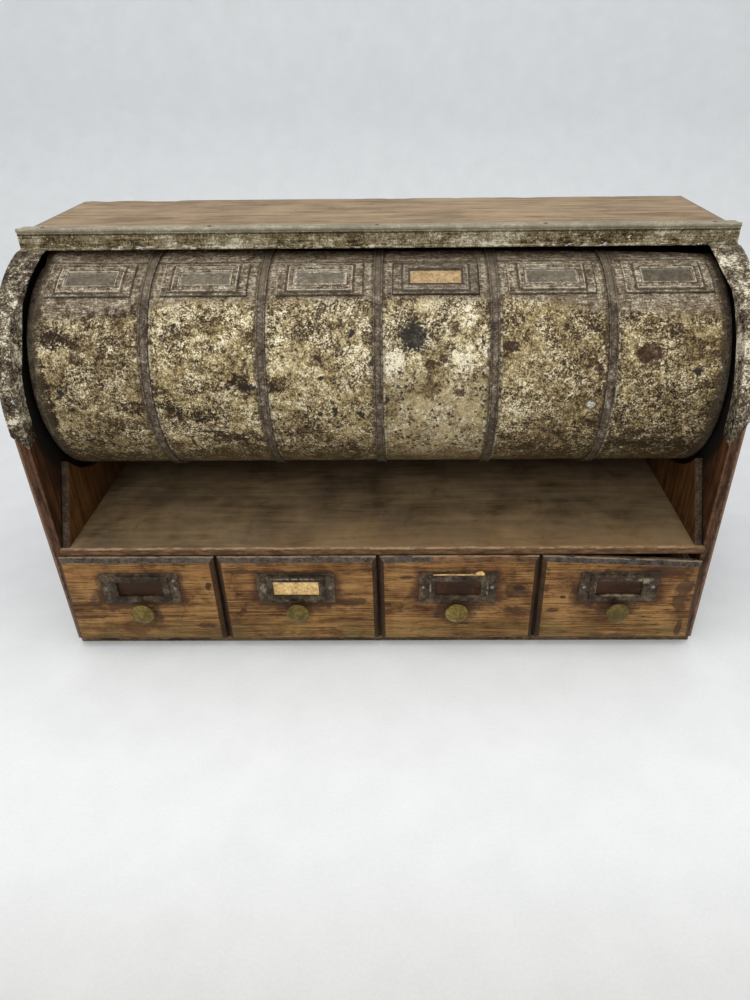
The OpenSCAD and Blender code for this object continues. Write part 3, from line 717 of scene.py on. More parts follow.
class HolderCoats(DrumCoats):
    """The label holders on the drum: rubbed arrises, painted shade in the creases, on the lower and
    right edges and round the darker fourth holder.
    """

    half_w: float = 24.2
    half_h: float = 12.85
    frame_half: tuple[float, float] = (18.0, 9.75)
    window_half: tuple[float, float] = (14.25, 5.45)

    def lay(self) -> None:
        """Lays the coats of the holders."""
        self.unroll()
        off, up = self.across(), self.above_label()
        speck = self.noise(1.3, 3, 0.72, 0.3, 13)
        ragged = speck.swing(1.3)
        outer = (self.half_w - abs(off)).low(self.half_h - abs(up))
        step = (self.frame_half[0] - abs(off)).low(self.frame_half[1] - abs(up))
        window = (abs(off) - self.window_half[0]).high(abs(up) - self.window_half[1])
        self.colour = self.band(12)
        rubbed = (step + ragged).near(0.25, 0.2, 0.35).high((window + ragged).near(0.25, 0.2, 0.35))
        rubbed = rubbed.high((outer + ragged).near(0.2, 0.15, 0.3) * 0.8)
        wear = self.noise(4, 3, 0.7, 0, 15).rise(0.4, 0.54)
        self.cover(rubbed * wear * 0.9, (0.5, 0.445, 0.335))
        # Painted shade in the creases at the foot of the frame and beside the window, and along the
        # lower and right edges
        crease_shade = step.near(-0.7, 0.4, 0.6).high((window + ragged * 0.3).near(0.9, 0.2, 0.5) * 0.6)
        self.cover(crease_shade * 0.75, (0.04, 0.028, 0.018))
        shaded = (up + self.half_h + ragged * 0.3).fall(0.4, 1.2).high(
            (self.half_w - off + ragged * 0.3).fall(0.4, 1.1))
        self.cover(shaded * 0.85, (0.025, 0.017, 0.012))
        fourth = self.bins.near(3.5, 0.45, 0.02)
        self.cover(fourth * 0.4, (0.06, 0.045, 0.032))
        inner = (window + ragged * 0.4).near(0.4, 0.3, 0.4)
        # Painted shade along the rim and window of the fourth holder
        fourth_outline_shade = (outer + ragged * 0.5).fall(0.5, 1.1).high(inner)
        self.cover(fourth_outline_shade * fourth * 0.8, (0.022, 0.016, 0.011))
        self.cover(speck.fall(0.28, 0.38) * 0.6, (0.05, 0.037, 0.027))
        self.dress(speck * 0.6, 0.14, 0.62, 0.05, 0.1)


class BlankCoats(HolderCoats):
    """The bare plates in the holders, each a little different."""

    # Paleness and flaking of the bins
    kinds: Stops = (
        (0, 0.5, 0.2, 0.5), (1, 0.6, 0.5, 0.5), (2, 0.62, 0.95, 0.5), (4, 0.5, 0.3, 0.5),
        (5, 0.3, 0.1, 0.5))

    def lay(self) -> None:
        """Lays the coats of the plates."""
        self.unroll()
        off, up = self.across(), self.above_label()
        pale, flaky, _ = self.by_bin()
        tone = self.mottle(((7, 0.8), (2, 0.8), (0.8, 0.9)), 31) + pale.swing(0.9)
        self.colour = self.ramp(tone, (
            (0.1, 0.06, 0.047, 0.032), (0.35, 0.1, 0.081, 0.056), (0.5, 0.138, 0.114, 0.08),
            (0.65, 0.178, 0.149, 0.107), (0.95, 0.33, 0.285, 0.21)))
        edge = (self.window_half[0] - abs(off)).low(self.window_half[1] - abs(up))
        speck = self.noise(1.5, 3, 0.7, 0.4, 33)
        self.cover((edge + speck.swing(0.9)).fall(0.25, 0.6) * 0.7, (0.4, 0.36, 0.27))
        self.cover((edge + speck.swing(7)).fall(0.2, 0.9) * flaky * 0.9, (0.72, 0.68, 0.57))
        self.dress(tone, 0.1, 0.6, 0.05)


class RibCoats(DrumCoats):
    """The strips over the partitions, with a few pale dashes along their beads."""

    def lay(self) -> None:
        """Lays the coats of the ribs."""
        self.unroll()
        angle = self.angle
        off = abs((self.bins + 0.5).fract() - 0.5) * BIN_PITCH
        tone = self.mottle(((10, 1.2), (2.6, 1.4), (0.9, 1.6)), 22)
        self.colour = self.ramp(tone, (
            (0.12, 0.034, 0.023, 0.014), (0.34, 0.07, 0.05, 0.033), (0.52, 0.112, 0.084, 0.058),
            (0.72, 0.185, 0.145, 0.104), (0.92, 0.38, 0.32, 0.235)))
        self.cover(angle.rise(46, 58) * 0.5, (0.16, 0.128, 0.088))
        dashes = self.noise(1.3, 3, 0.7, 0, 24, self.place * (1.0, 0.35, 1.0)).rise(0.54, 0.64)
        bead = (off + tone.swing(0.5)).near(2.2, 0.2, 0.25)
        self.cover(bead * dashes * 0.5, (0.4, 0.35, 0.26))
        self.cover(off.near(1.5, 0.2, 0.35) * 0.35, (0.045, 0.033, 0.024))
        outer = off.rise(2.45, 2.6)
        self.cover(outer * 0.7, (0.025, 0.018, 0.012))
        self.cover(outer * dashes * 0.5, (0.36, 0.31, 0.22))
        self.cover(angle.fall(-34, -10) * 0.5, (0.055, 0.038, 0.02))
        self.dress(tone, 0.16, 0.58, 0.06)


class TinCoats(Coats):
    """Old tin sheet: mottled tones with specks and rubbed edges."""

    height: Wire
    patch: Wire
    speck: Wire

    def shade(self, tone: Wire) -> Wire:
        """Fades a tone from height to height.

        Args:
            tone: the mottled tone.

        Returns:
            The changed tone.
        """
        for start, end, change in self.look.fades:
            tone = tone + (self.height + self.patch.swing(14)).rise(start, end) * change
        return tone + self.look.lift

    def lay(self) -> None:
        """Lays the coats of one piece."""
        self.height = self.split(self.place)[2]
        self.patch = patch = self.noise(6, 4, 0.7, 0.6, 5)
        self.speck = speck = self.noise(1.4, 3, 0.7, 0.4, 6)
        tone = self.shade(self.mottle(self.look.layers))
        self.colour = self.ramp(tone, self.look.tones)
        flakes = (speck + patch.swing(0.4)).rise(0.62, 0.7) * self.look.flake
        self.cover(flakes, (0.68, 0.64, 0.53))
        pits = (speck + patch.swing(0.5)).fall(0.28, 0.37) * 0.8
        self.cover(pits, tuple(c * 0.6 for c in self.look.tones[0][1:]))
        edge = self.edge_distance() + speck.swing(2)
        self.cover(edge.fall(0.2, 0.9) * self.look.rub, self.look.tones[-2][1:])
        self.mark()
        self.dress(tone * 0.7 - pits * 0.4 + flakes * 0.3, 0.2, 0.58, 0.06)

    def mark(self) -> None:
        """Lays nothing more on plain tin."""


class RailCoats(TinCoats):
    """The rail: long streaks, a pale top over a dark line, and crusts at the foot."""

    crown: Colour = (0.32, 0.283, 0.212)
    crown_z: float = 247.3
    line_z: float = 247.0
    crust_z: float = 239.8

    def shade(self, tone: Wire) -> Wire:
        """Adds streaks along the rail to a tone, and light on what faces up."""
        streaks = self.noise(1.1, 3, 0.65, 0, 4, self.place * (0.08, 1.0, 1.0)).swing(1.3)
        return tone + streaks + self.facing()[2].rise(0.3, 0.7) * 0.1

    def mark(self) -> None:
        """Lays the pale top, the dark line and the crusts."""
        level = self.height + self.speck.swing(0.5)
        self.cover(level.rise(self.crown_z, self.crown_z + 0.6) * 0.6, self.crown)
        self.cover(level.near(self.line_z, 0.25, 0.4) * 0.75, self.look.tones[0][1:])
        crust = (self.height + self.patch.swing(7)).fall(self.crust_z, self.crust_z + 1.0)
        lumps = self.noise(3, 3, 0.7, 0.3, 8, self.place * (0.5, 1.0, 1.0)).rise(0.52, 0.6)
        self.cover(crust * lumps * 0.8, (0.6, 0.56, 0.46))


class FittingCoats(Coats):
    """A fitting: tarnished, rubbed and dirty."""

    def lay(self) -> None:
        """Lays the coats of one fitting."""
        look = self.look
        tone = self.mottle(((9, 1.5), (3, 1.4 * look.fine), (0.9, 1.3 * look.fine)))
        tones = ((0.22, *look.dirt), (0.5, *look.ground), (0.85, *look.rubbed))
        self.colour = self.ramp(tone, tones)
        edge = self.edge_distance() + self.noise(0.8, 3, 0.7, 0, 4).swing(1.4)
        self.cover(edge.fall(0.15, 0.6) * 0.45, look.rubbed)
        if look.worn:
            x, _, z = self.split(self.place)
            ragged = self.noise(2.2, 4, 0.72, 0, 5)
            bare = self.stains(look.worn, ragged, self.join(x, z)) * ragged.rise(0.42, 0.56)
            self.cover(bare * 0.8, (0.3, 0.26, 0.17))
        self.dress(tone, 0.1, 0.5, look.metallic, look.shine)


class PaperCoats(Coats):
    """Old card, yellowed and soiled towards its edges."""

    def lay(self) -> None:
        """Lays the coats of one card."""
        cloud = self.mottle(((6, 1.2), (1.8, 1.3)))
        fibre = self.noise(0.5, 2, 0.6, 0, 1, self.place * (0.3, 1.0, 1.0))
        soiled, clean = self.look.soiled, self.look.clean
        pale = (min(1.0, c * 1.35) for c in clean)
        self.colour = self.ramp(cloud, ((0.25, *soiled), (0.55, *clean), (0.85, *pale)))
        edge = self.edge_distance() + cloud.swing(5)
        self.cover(edge.fall(0.5, 2.4) * 0.5, soiled)
        self.dress(fibre, 0.05, 0.85, shine=0.15)


class FloorCoats(Shader):
    """The pale floor and backdrop, with a painted pool of light before the cabinet, and warmer far
    ahead.
    """

    def lay(self) -> None:
        """Lays the coats of the floor."""
        fine = self.noise(1.6, 3, 0.6, 0, 2)
        tone = self.noise(26, 4, 0.55, 0, 1).swing(0.12) + fine.swing(0.12) + 0.98
        up, (across, ahead, _) = self.facing()[2], self.split(self.place)
        self.colour = self.mix((ahead + 300).fall(0, 220) * up, (0.7, 0.705, 0.705),
                               (0.625, 0.615, 0.585))
        # A painted pool of light on the floor before the cabinet, which lifts its shadow
        foot = ahead.near(-145, 40, 160) * abs(across).fall(150, 480)
        self.cover(foot * up, (0.84, 0.845, 0.835))
        wall = self.mix(up, (0.69, 0.7, 0.705), self.colour)
        self.colour = self.tint(wall, tone)
        self.dress(fine, 0.1, 0.9, shine=0.1)


@dataclass(frozen=True)
class Finish:
    """A look for pieces and the coats that lay it."""

    name: str
    coats: type[Coats] = field(default=Coats, kw_only=True)

    def material(self, node: str, seed: float = 0.0) -> bpy.types.Material:
        """The finish of one solid, its pattern shifted by a seed."""
        return self.coats(self, node, seed).material


@dataclass(frozen=True)
class Wood(Finish):
    """An old varnished wood: its colours, its grain and its wear."""

    pale: Colour
    middle: Colour
    dark: Colour
    worn: Colour
    grain: Along = Along.X
    lines: float = 1.5
    bands: float = 1.1
    cloud: float = 1.0
    pores: float = 0.5
    dust: float = 0.0
    dust_tone: Colour = (0.17, 0.145, 0.11)
    rub: float = 1.6
    stain: float = 0.4
    shine: float = 0.2
    coats: type[Coats] = field(default=WoodCoats, kw_only=True)


@dataclass(frozen=True)
class Front(Wood):
    """The oak of a drawer front, with grimy bevels, knots, a dull lower part and a dirty middle."""

    holder_x: float = 0.0
    knots: Marks = ()
    grime: Marks = ()
    soot_end: float = 400.0
    coats: type[Coats] = field(default=FrontCoats, kw_only=True)


@dataclass(frozen=True)
class Tin(Finish):
    """Old tin sheet: a ramp of tones picked by mottling, with specks and rubbed edges.

    Each fade is two heights and the change in tone from one to the other.
    """

    tones: Stops
    layers: Layers = ((18, 0.8), (5, 1.1), (1.9, 1.1), (0.85, 1.2))
    flake: float = 0.5
    rub: float = 0.5
    lift: float = 0.0
    fades: tuple[Triple, ...] = ()
    coats: type[Coats] = field(default=TinCoats, kw_only=True)


@dataclass(frozen=True)
class Fitting(Finish):
    """A small cast or stamped fitting: a tarnished ground, a rubbed tone and dirt."""

    ground: Colour
    rubbed: Colour
    dirt: Colour
    metallic: float = 0.3
    shine: float = 0.35
    fine: float = 1.0
    worn: Marks = ()
    coats: type[Coats] = field(default=FittingCoats, kw_only=True)

    def shaded(self, share: float) -> "Fitting":
        """The same finish with its ground and rubbed tones at a share of their strength."""
        ground, rubbed = (tuple(c * share for c in tone) for tone in (self.ground, self.rubbed))
        return replace(self, ground=ground, rubbed=rubbed)


@dataclass(frozen=True)
class Paper(Finish):
    """Old card, yellowed and soiled towards its edges."""

    clean: Colour
    soiled: Colour
    coats: type[Coats] = field(default=PaperCoats, kw_only=True)


TOP_OAK = Wood(
    "top_oak", (0.4, 0.29, 0.175), (0.288, 0.198, 0.113), (0.15, 0.096, 0.05), (0.2, 0.165, 0.125),
    lines=1.3, cloud=0.8, dust=0.1, dust_tone=(0.25, 0.21, 0.16), rub=2.6, stain=0.3, shine=0.1)
CASE_WOOD = Wood(
    "case_wood", (0.13, 0.082, 0.04), (0.066, 0.041, 0.021), (0.022, 0.014, 0.008),
    (0.2, 0.13, 0.07), pores=0.4, dust=0.1)
UPRIGHT_WOOD = Wood(
    "upright_wood", (0.09, 0.05, 0.026), (0.045, 0.024, 0.013), (0.018, 0.01, 0.006),
    (0.07, 0.042, 0.024), grain=Along.Z, pores=0.4)
SHELF_WOOD = Wood(
    "shelf_wood", (0.29, 0.2, 0.1), (0.19, 0.125, 0.06), (0.08, 0.05, 0.024), (0.4, 0.265, 0.15),
    lines=0.35, bands=0.8, cloud=1.5, pores=0.1, dust=0.4, dust_tone=(0.2, 0.15, 0.1), stain=0.45,
    shine=0.1, coats=ShelfCoats)
BACK_WOOD = Wood(
    "back_wood", (0.21, 0.13, 0.07), (0.14, 0.082, 0.042), (0.075, 0.042, 0.022), (0.24, 0.16, 0.1),
    grain=Along.Z, lines=1.3, bands=0.8, cloud=0.6, pores=0.4)
SIDE_WOOD = Wood(
    "side_wood", (0.11, 0.042, 0.014), (0.046, 0.018, 0.006), (0.014, 0.006, 0.003),
    (0.14, 0.066, 0.036), grain=Along.Z, rub=1.3, shine=0.15, coats=SideCoats)
LINER_WOOD = Wood(
    "liner_wood", (0.165, 0.072, 0.02), (0.09, 0.037, 0.01), (0.035, 0.014, 0.004),
    (0.12, 0.09, 0.06), grain=Along.Z, pores=0.4, shine=0.15, coats=LinerCoats)
DRAWER_WOOD = Wood(
    "drawer_wood", (0.4, 0.27, 0.165), (0.3, 0.19, 0.11), (0.17, 0.1, 0.055), (0.36, 0.26, 0.17),
    grain=Along.Y, pores=0.25, dust=0.25)
DRAWER_FLOOR = Wood(
    "drawer_floor", (0.4, 0.28, 0.175), (0.31, 0.2, 0.12), (0.18, 0.11, 0.06), (0.34, 0.25, 0.17),
    pores=0.2, dust=0.4)
PARTITION_WOOD = Wood(
    "partition_wood", (0.32, 0.22, 0.135), (0.22, 0.14, 0.082), (0.12, 0.07, 0.04),
    (0.3, 0.22, 0.15), grain=Along.Z, pores=0.3)
FRONT_OAK = Front(
    "drawer_oak", (0.33, 0.178, 0.062), (0.188, 0.092, 0.03), (0.07, 0.028, 0.01), (0.3, 0.2, 0.12),
    lines=2.1, bands=0.9, cloud=1.5, pores=1.1, stain=0.7)
RAIL_TIN = Tin(
    "rail_tin",
    ((0.04, 0.02, 0.013, 0.005), (0.24, 0.07, 0.047, 0.019), (0.42, 0.138, 0.103, 0.049),
     (0.6, 0.205, 0.162, 0.088), (0.8, 0.31, 0.262, 0.164), (0.96, 0.56, 0.51, 0.39)),
    layers=((28, 1.7), (6, 1.0), (2, 1.2), (0.8, 1.4)), flake=0.9, rub=0.3, coats=RailCoats)
TRIM_TIN = Tin(
    "trim_tin",
    ((0.04, 0.022, 0.014, 0.008), (0.24, 0.07, 0.05, 0.031), (0.46, 0.135, 0.104, 0.067),
     (0.62, 0.225, 0.184, 0.12), (0.78, 0.42, 0.365, 0.255), (0.94, 0.76, 0.7, 0.54)),
    layers=((26, 1.4), (8, 1.9), (2.2, 1.9), (0.8, 2.2)), flake=1.0, rub=0.15, lift=-0.42,
    fades=((152, 165, 0.42), (205, 225, -0.12)))
RIGHT_TRIM_TIN = replace(TRIM_TIN, lift=-0.2, fades=((150, 200, 0.3),))
END_TIN = Tin(
    "end_tin",
    ((0.15, 0.018, 0.013, 0.009), (0.4, 0.045, 0.034, 0.023), (0.6, 0.075, 0.058, 0.038),
     (0.8, 0.12, 0.095, 0.065), (0.95, 0.2, 0.165, 0.12)), flake=0.0, rub=0.1)
BRONZE = Fitting(
    "dark_bronze", (0.043, 0.027, 0.015), (0.13, 0.096, 0.058), (0.014, 0.009, 0.005),
    metallic=0.08, shine=0.2, fine=0.6,
    worn=((163, 55.5, 6, 2.6), (148, 44, 13, 0.8), (133.6, 49, 0.8, 6), (-53.4, 57.6, 20, 0.7),
          (-73.5, 50, 2, 4), (-129.5, 55.5, 1.6, 1.6), (66, 49, 0.8, 7), (30.5, 49, 0.7, 6)))
BRASS = Fitting(
    "aged_brass", (0.165, 0.112, 0.026), (0.26, 0.195, 0.06), (0.085, 0.056, 0.014), shine=0.2)
STEEL = Fitting(
    "dark_steel", (0.17, 0.15, 0.12), (0.36, 0.33, 0.28), (0.06, 0.045, 0.034), metallic=0.4)
NAIL_STEEL = Fitting("nail_steel", (0.08, 0.062, 0.046), (0.18, 0.15, 0.11), (0.035, 0.026, 0.02))
DRUM_SHEET, DRUM_RIBS, DRUM_HOLDERS, DRUM_BLANKS = (
    Finish("drum_tin", coats=kind) for kind in (SheetCoats, RibCoats, HolderCoats, BlankCoats))
DRUM_CARD = Paper("drum_card", (0.42, 0.29, 0.15), (0.27, 0.16, 0.07))
DRAWER_CARD = Paper("drawer_card", (0.72, 0.49, 0.21), (0.42, 0.25, 0.09))


# Working the copies of the solids

def eased(share: float) -> float:
    """Smooth step of a share kept between 0 and 1."""
    share = min(1.0, max(0.0, share))
    return share * share * (3.0 - 2.0 * share)


@dataclass(frozen=True)
class Wear:
    """How a copied solid is softened and, if it has an axis to be sliced along, worn."""

    edge: float = 0.5
    segments: int = 2
    slice_axis: int | None = None
    pitch: float = 4.0
    depth: float = 0.25
    grain: float = 9.0
    seed: float = 0.0


class Bench:
    """Copies solids of the frame, softens their edges and wears them."""

    @staticmethod
    def copy_of(node: str) -> Work:
        """Merges a copy of a solid and joins its flat faces.

        Args:
            node: the solid.

        Returns:
            The mesh.
        """
        work = bmesh.new()
        work.from_mesh(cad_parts[node].data)
        bmesh.ops.remove_doubles(work, verts=work.verts, dist=2e-6)
        bmesh.ops.dissolve_limit(work, angle_limit=math.radians(0.4), verts=work.verts,
                                 edges=work.edges)
        return work

    @staticmethod
    def sharp(work: Work, degrees: float) -> list[bmesh.types.BMEdge]:
        """The edges that turn by more than an angle."""
        return [edge for edge in work.edges
                if len(edge.link_faces) == 2 and edge.calc_face_angle(0.0) > math.radians(degrees)]

    @staticmethod
    def bevel(work: Work, edges: list[bmesh.types.BMEdge], width: float, segments: int) -> None:
        """Rounds some edges by a width in millimetres."""
        bmesh.ops.bevel(work, geom=edges, offset=width * MM, offset_type="OFFSET", affect="EDGES",
                        segments=segments, profile=0.5, material=-1, clamp_overlap=True)

    @classmethod
    def soften(cls, work: Work, wear: Wear) -> None:
        """Rounds the sharp edges."""
        cls.bevel(work, cls.sharp(work, 28), wear.edge, wear.segments)

    @staticmethod
    def cut(work: Work, at: Vector, normal: Vector, open_up: bool = False) -> None:
        """Cuts through the mesh at a plane, and clears what lies past it if asked to."""
        bmesh.ops.bisect_plane(work, geom=work.verts[:] + work.edges[:] + work.faces[:], dist=1e-7,
                               plane_co=at, plane_no=normal, clear_outer=open_up)

    @classmethod
    def slice(cls, work: Work, axis: int, places: list[float]) -> None:
        """Cuts through the mesh square to an axis.

        Args:
            work: the mesh.
            axis: the axis.
            places: where it is cut, in metres.
        """
        direction = Vector((0, 0, 0))
        direction[axis] = 1.0
        for at in places:
            cls.cut(work, direction * at, direction)

    @classmethod
    def weather(cls, work: Work, wear: Wear, low: Vector, high: Vector) -> None:
        """Cuts a board in slices and moves its edges inward unevenly.

        Args:
            work: the mesh.
            wear: how much it is worn.
            low: the board's lowest corner.
            high: the board's highest corner.
        """
        axis = wear.slice_axis
        others = [a for a in range(3) if a != axis]
        count = max(2, int((high[axis] - low[axis]) / (wear.pitch * MM)))
        step = (high[axis] - low[axis]) / count
        cls.slice(work, axis, [low[axis] + step * i for i in range(1, count)])
        for other in others:
            inset = min(3.0 * MM, (high[other] - low[other]) * 0.3)
            cls.slice(work, other, [low[other] + inset, high[other] - inset])
        middle = (low + high) / 2
        for vertex in work.verts:
            reach = [min(vertex.co[a] - low[a], high[a] - vertex.co[a]) for a in others]
            if max(reach) > 1.2 * wear.edge * MM + 1e-5:
                continue
            spot = vertex.co * (1000.0 / wear.grain) + Vector((wear.seed, wear.seed * 1.7, 0))
            bite = max(0.0, noise.fractal(spot, 0.7, 2.0, 3) + 0.15) * wear.depth * MM
            for a in others:
                vertex.co[a] += bite if vertex.co[a] < middle[a] else -bite

    @staticmethod
    def piece(work: Work, name: str) -> bpy.types.Object:
        """Turns a mesh into a smooth-shaded object with sharp edges kept.

        Args:
            work: the mesh.
            name: the object's name.

        Returns:
            The object.
        """
        mesh = bpy.data.meshes.new(name)
        work.normal_update()
        work.to_mesh(mesh)
        work.free()
        mesh.shade_smooth()
        mesh.set_sharp_from_angle(angle=math.radians(32))
        return placed(name, mesh)


def placed(name: str, data: bpy.types.ID) -> bpy.types.Object:
    """Puts a new object in the scene.

    Args:
        name: its name.
        data: its mesh, lamp or camera.

    Returns:
        The object.
    """
    made = bpy.data.objects.new(name, data)
    bpy.context.scene.collection.objects.link(made)
    return made


@dataclass
class Assembly:
    """A group of solids on one body, dressed in one go."""

    body: str
    pieces: list[str] = field(default_factory=list)

    def adopt(self, work: Work, node: str, look: Finish, seed: float = 0.0,
              ending: str = "worn") -> None:
        """Stands a worked and coated copy in a solid's place.

        Args:
            work: the mesh of the copy.
            node: the solid.
            look: its finish.
            seed: shifts the finish's pattern.
            ending: the ending of the new piece's name.
        """
        made = Bench.piece(work, f"{node}_{ending}")
        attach(made, self.body)
        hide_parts(node)
        made.data.materials.append(look.material(node, seed))
        self.pieces.append(made.name)

    def keep(self, node: str, look: Finish, seed: float = 0.0) -> None:
        """Coats a solid as it is.

        Args:
            node: the solid.
            look: its finish.
            seed: shifts the finish's pattern.
        """
        material = look.material(node, seed)
        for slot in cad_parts[node].material_slots:
            slot.material = material
        self.pieces.append(node)

    def finish(self, node: str, wear: Wear | None, look: Finish, seed: float) -> None:
        """Wears and coats one solid.

        Args:
            node: the solid.
            wear: its wear, or None to keep the solid itself.
            look: its finish.
            seed: shifts the finish's pattern.
        """
        if wear is None:
            self.keep(node, look, seed)
            return
        work = Bench.copy_of(node)
        Bench.soften(work, wear)
        if wear.slice_axis is not None:
            Bench.weather(work, wear, *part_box(node))
        self.adopt(work, node, look, seed)


@dataclass
class Case(Assembly):
    """The boards of the case."""

    body: str = "case"

    def build(self) -> None:
        """Wears and coats every board."""
        self.finish("bottom_board", Wear(0.5, 2, 0, 3.0, 1.2, 5.0, 3.1), CASE_WOOD, 3)
        self.finish("shelf", Wear(0.5, 2, 0, 4.0, 0.7, 11.0, 5.2), SHELF_WOOD, 11)
        self.finish("top_board", Wear(0.8, 3, 0, 5.0, 0.6, 14.0, 1.3), TOP_OAK, 21)
        self.finish("back_panel", Wear(0.6), BACK_WOOD, 31)
        for side, seed in (("left", 41), ("right", 47)):
            self.finish(f"side_{side}", Wear(0.6), SIDE_WOOD, seed)
            self.finish(f"liner_{side}", Wear(0.6), LINER_WOOD, seed + 3)
            self.finish(f"pivot_pin_{side}", Wear(0.3), STEEL, seed + 5)
        for i in (1, 2, 3):
            self.finish(f"drawer_divider_{i}", Wear(0.5), UPRIGHT_WOOD, 50 + i)


@dataclass
class Trim(Assembly):
    """The tin along the top and over the curved edges."""

    body: str = "case"
    arris_x: float = 195.2
    arris_round: float = 1.5
    foot_z: float = 146.5
    leg_x: float = 197.5
    sheet_radius: float = 79.7
    spread_z: float = 210.0
    spread_over: float = 26.0

    def build(self) -> None:
        """Softens and coats the rail, the side trims and the tacks."""
        self.finish("rail_trim", Wear(0.25, 2, 0, 5.0, 0.35, 16.0, 7.7), RAIL_TIN, 61)
        for side, sign, slope, reach, tin, seed in (
                ("left", -1, 0.95, 7.0, TRIM_TIN, 63), ("right", 1, 1.9, 8.5, RIGHT_TRIM_TIN, 65)):
            work = self.folded(f"side_trim_{side}", sign, slope)
            self.spread(work, sign, reach)
            self.adopt(work, f"side_trim_{side}", tin, seed)
        self.finish("trim_tacks", None, NAIL_STEEL, 67)

    def folded(self, node: str, sign: int, slope: float) -> Work:
        """A side trim with a rounded fold at its inner front edge and a slanting lower end.

        Args:
            node: the solid.
            sign: -1 at the left and 1 at the right.
            slope: how steeply the lower end slants.

        Returns:
            The mesh.
        """
        work = Bench.copy_of(node)
        Bench.cut(work, Vector((sign * 0.196, 0.0, self.foot_z * MM)),
                  Vector((sign * slope, 0.0, -1.0)).normalized(), True)
        bmesh.ops.holes_fill(work, edges=[edge for edge in work.edges if edge.is_boundary], sides=0)
        fold = [edge for edge in Bench.sharp(work, 50)
                if all(self.on_arris(vert.co) for vert in edge.verts)]
        Bench.bevel(work, fold, self.arris_round, 4)
        Bench.soften(work, Wear(0.2))
        return work

    def spread(self, work: Work, sign: int, reach: float) -> None:
        """Flattens the inner leg towards the rail and widens the strip inwards there.

        Args:
            work: the mesh.
            sign: -1 at the left and 1 at the right.
            reach: how far the strip is widened at its top.
        """
        for vertex in work.verts:
            x, y, z = abs(vertex.co.x) / MM, vertex.co.y / MM - CURVE_Y, vertex.co.z / MM - CURVE_Z
            share = eased((z + CURVE_Z - self.spread_z) / self.spread_over)
            if x > self.leg_x or share <= 0.0:
                continue
            vertex.co.x -= sign * reach * share * MM
            radius = math.hypot(min(0.0, y), z)
            if y < 0.0 and radius < self.sheet_radius:
                lift = 1.0 + (self.sheet_radius - radius) * min(1.0, share * 3.0) / radius
                vertex.co.y, vertex.co.z = (CURVE_Y + y * lift) * MM, (CURVE_Z + z * lift) * MM

    def on_arris(self, spot: Vector) -> bool:
        """Whether a point lies on the outer line of the fold."""
        ahead, above = max(0.0, CURVE_Y - spot.y * 1000), max(0.0, spot.z * 1000 - CURVE_Z)
        return abs(abs(spot.x) * 1000 - self.arris_x) < 0.05 and math.hypot(ahead, above) > 79.9


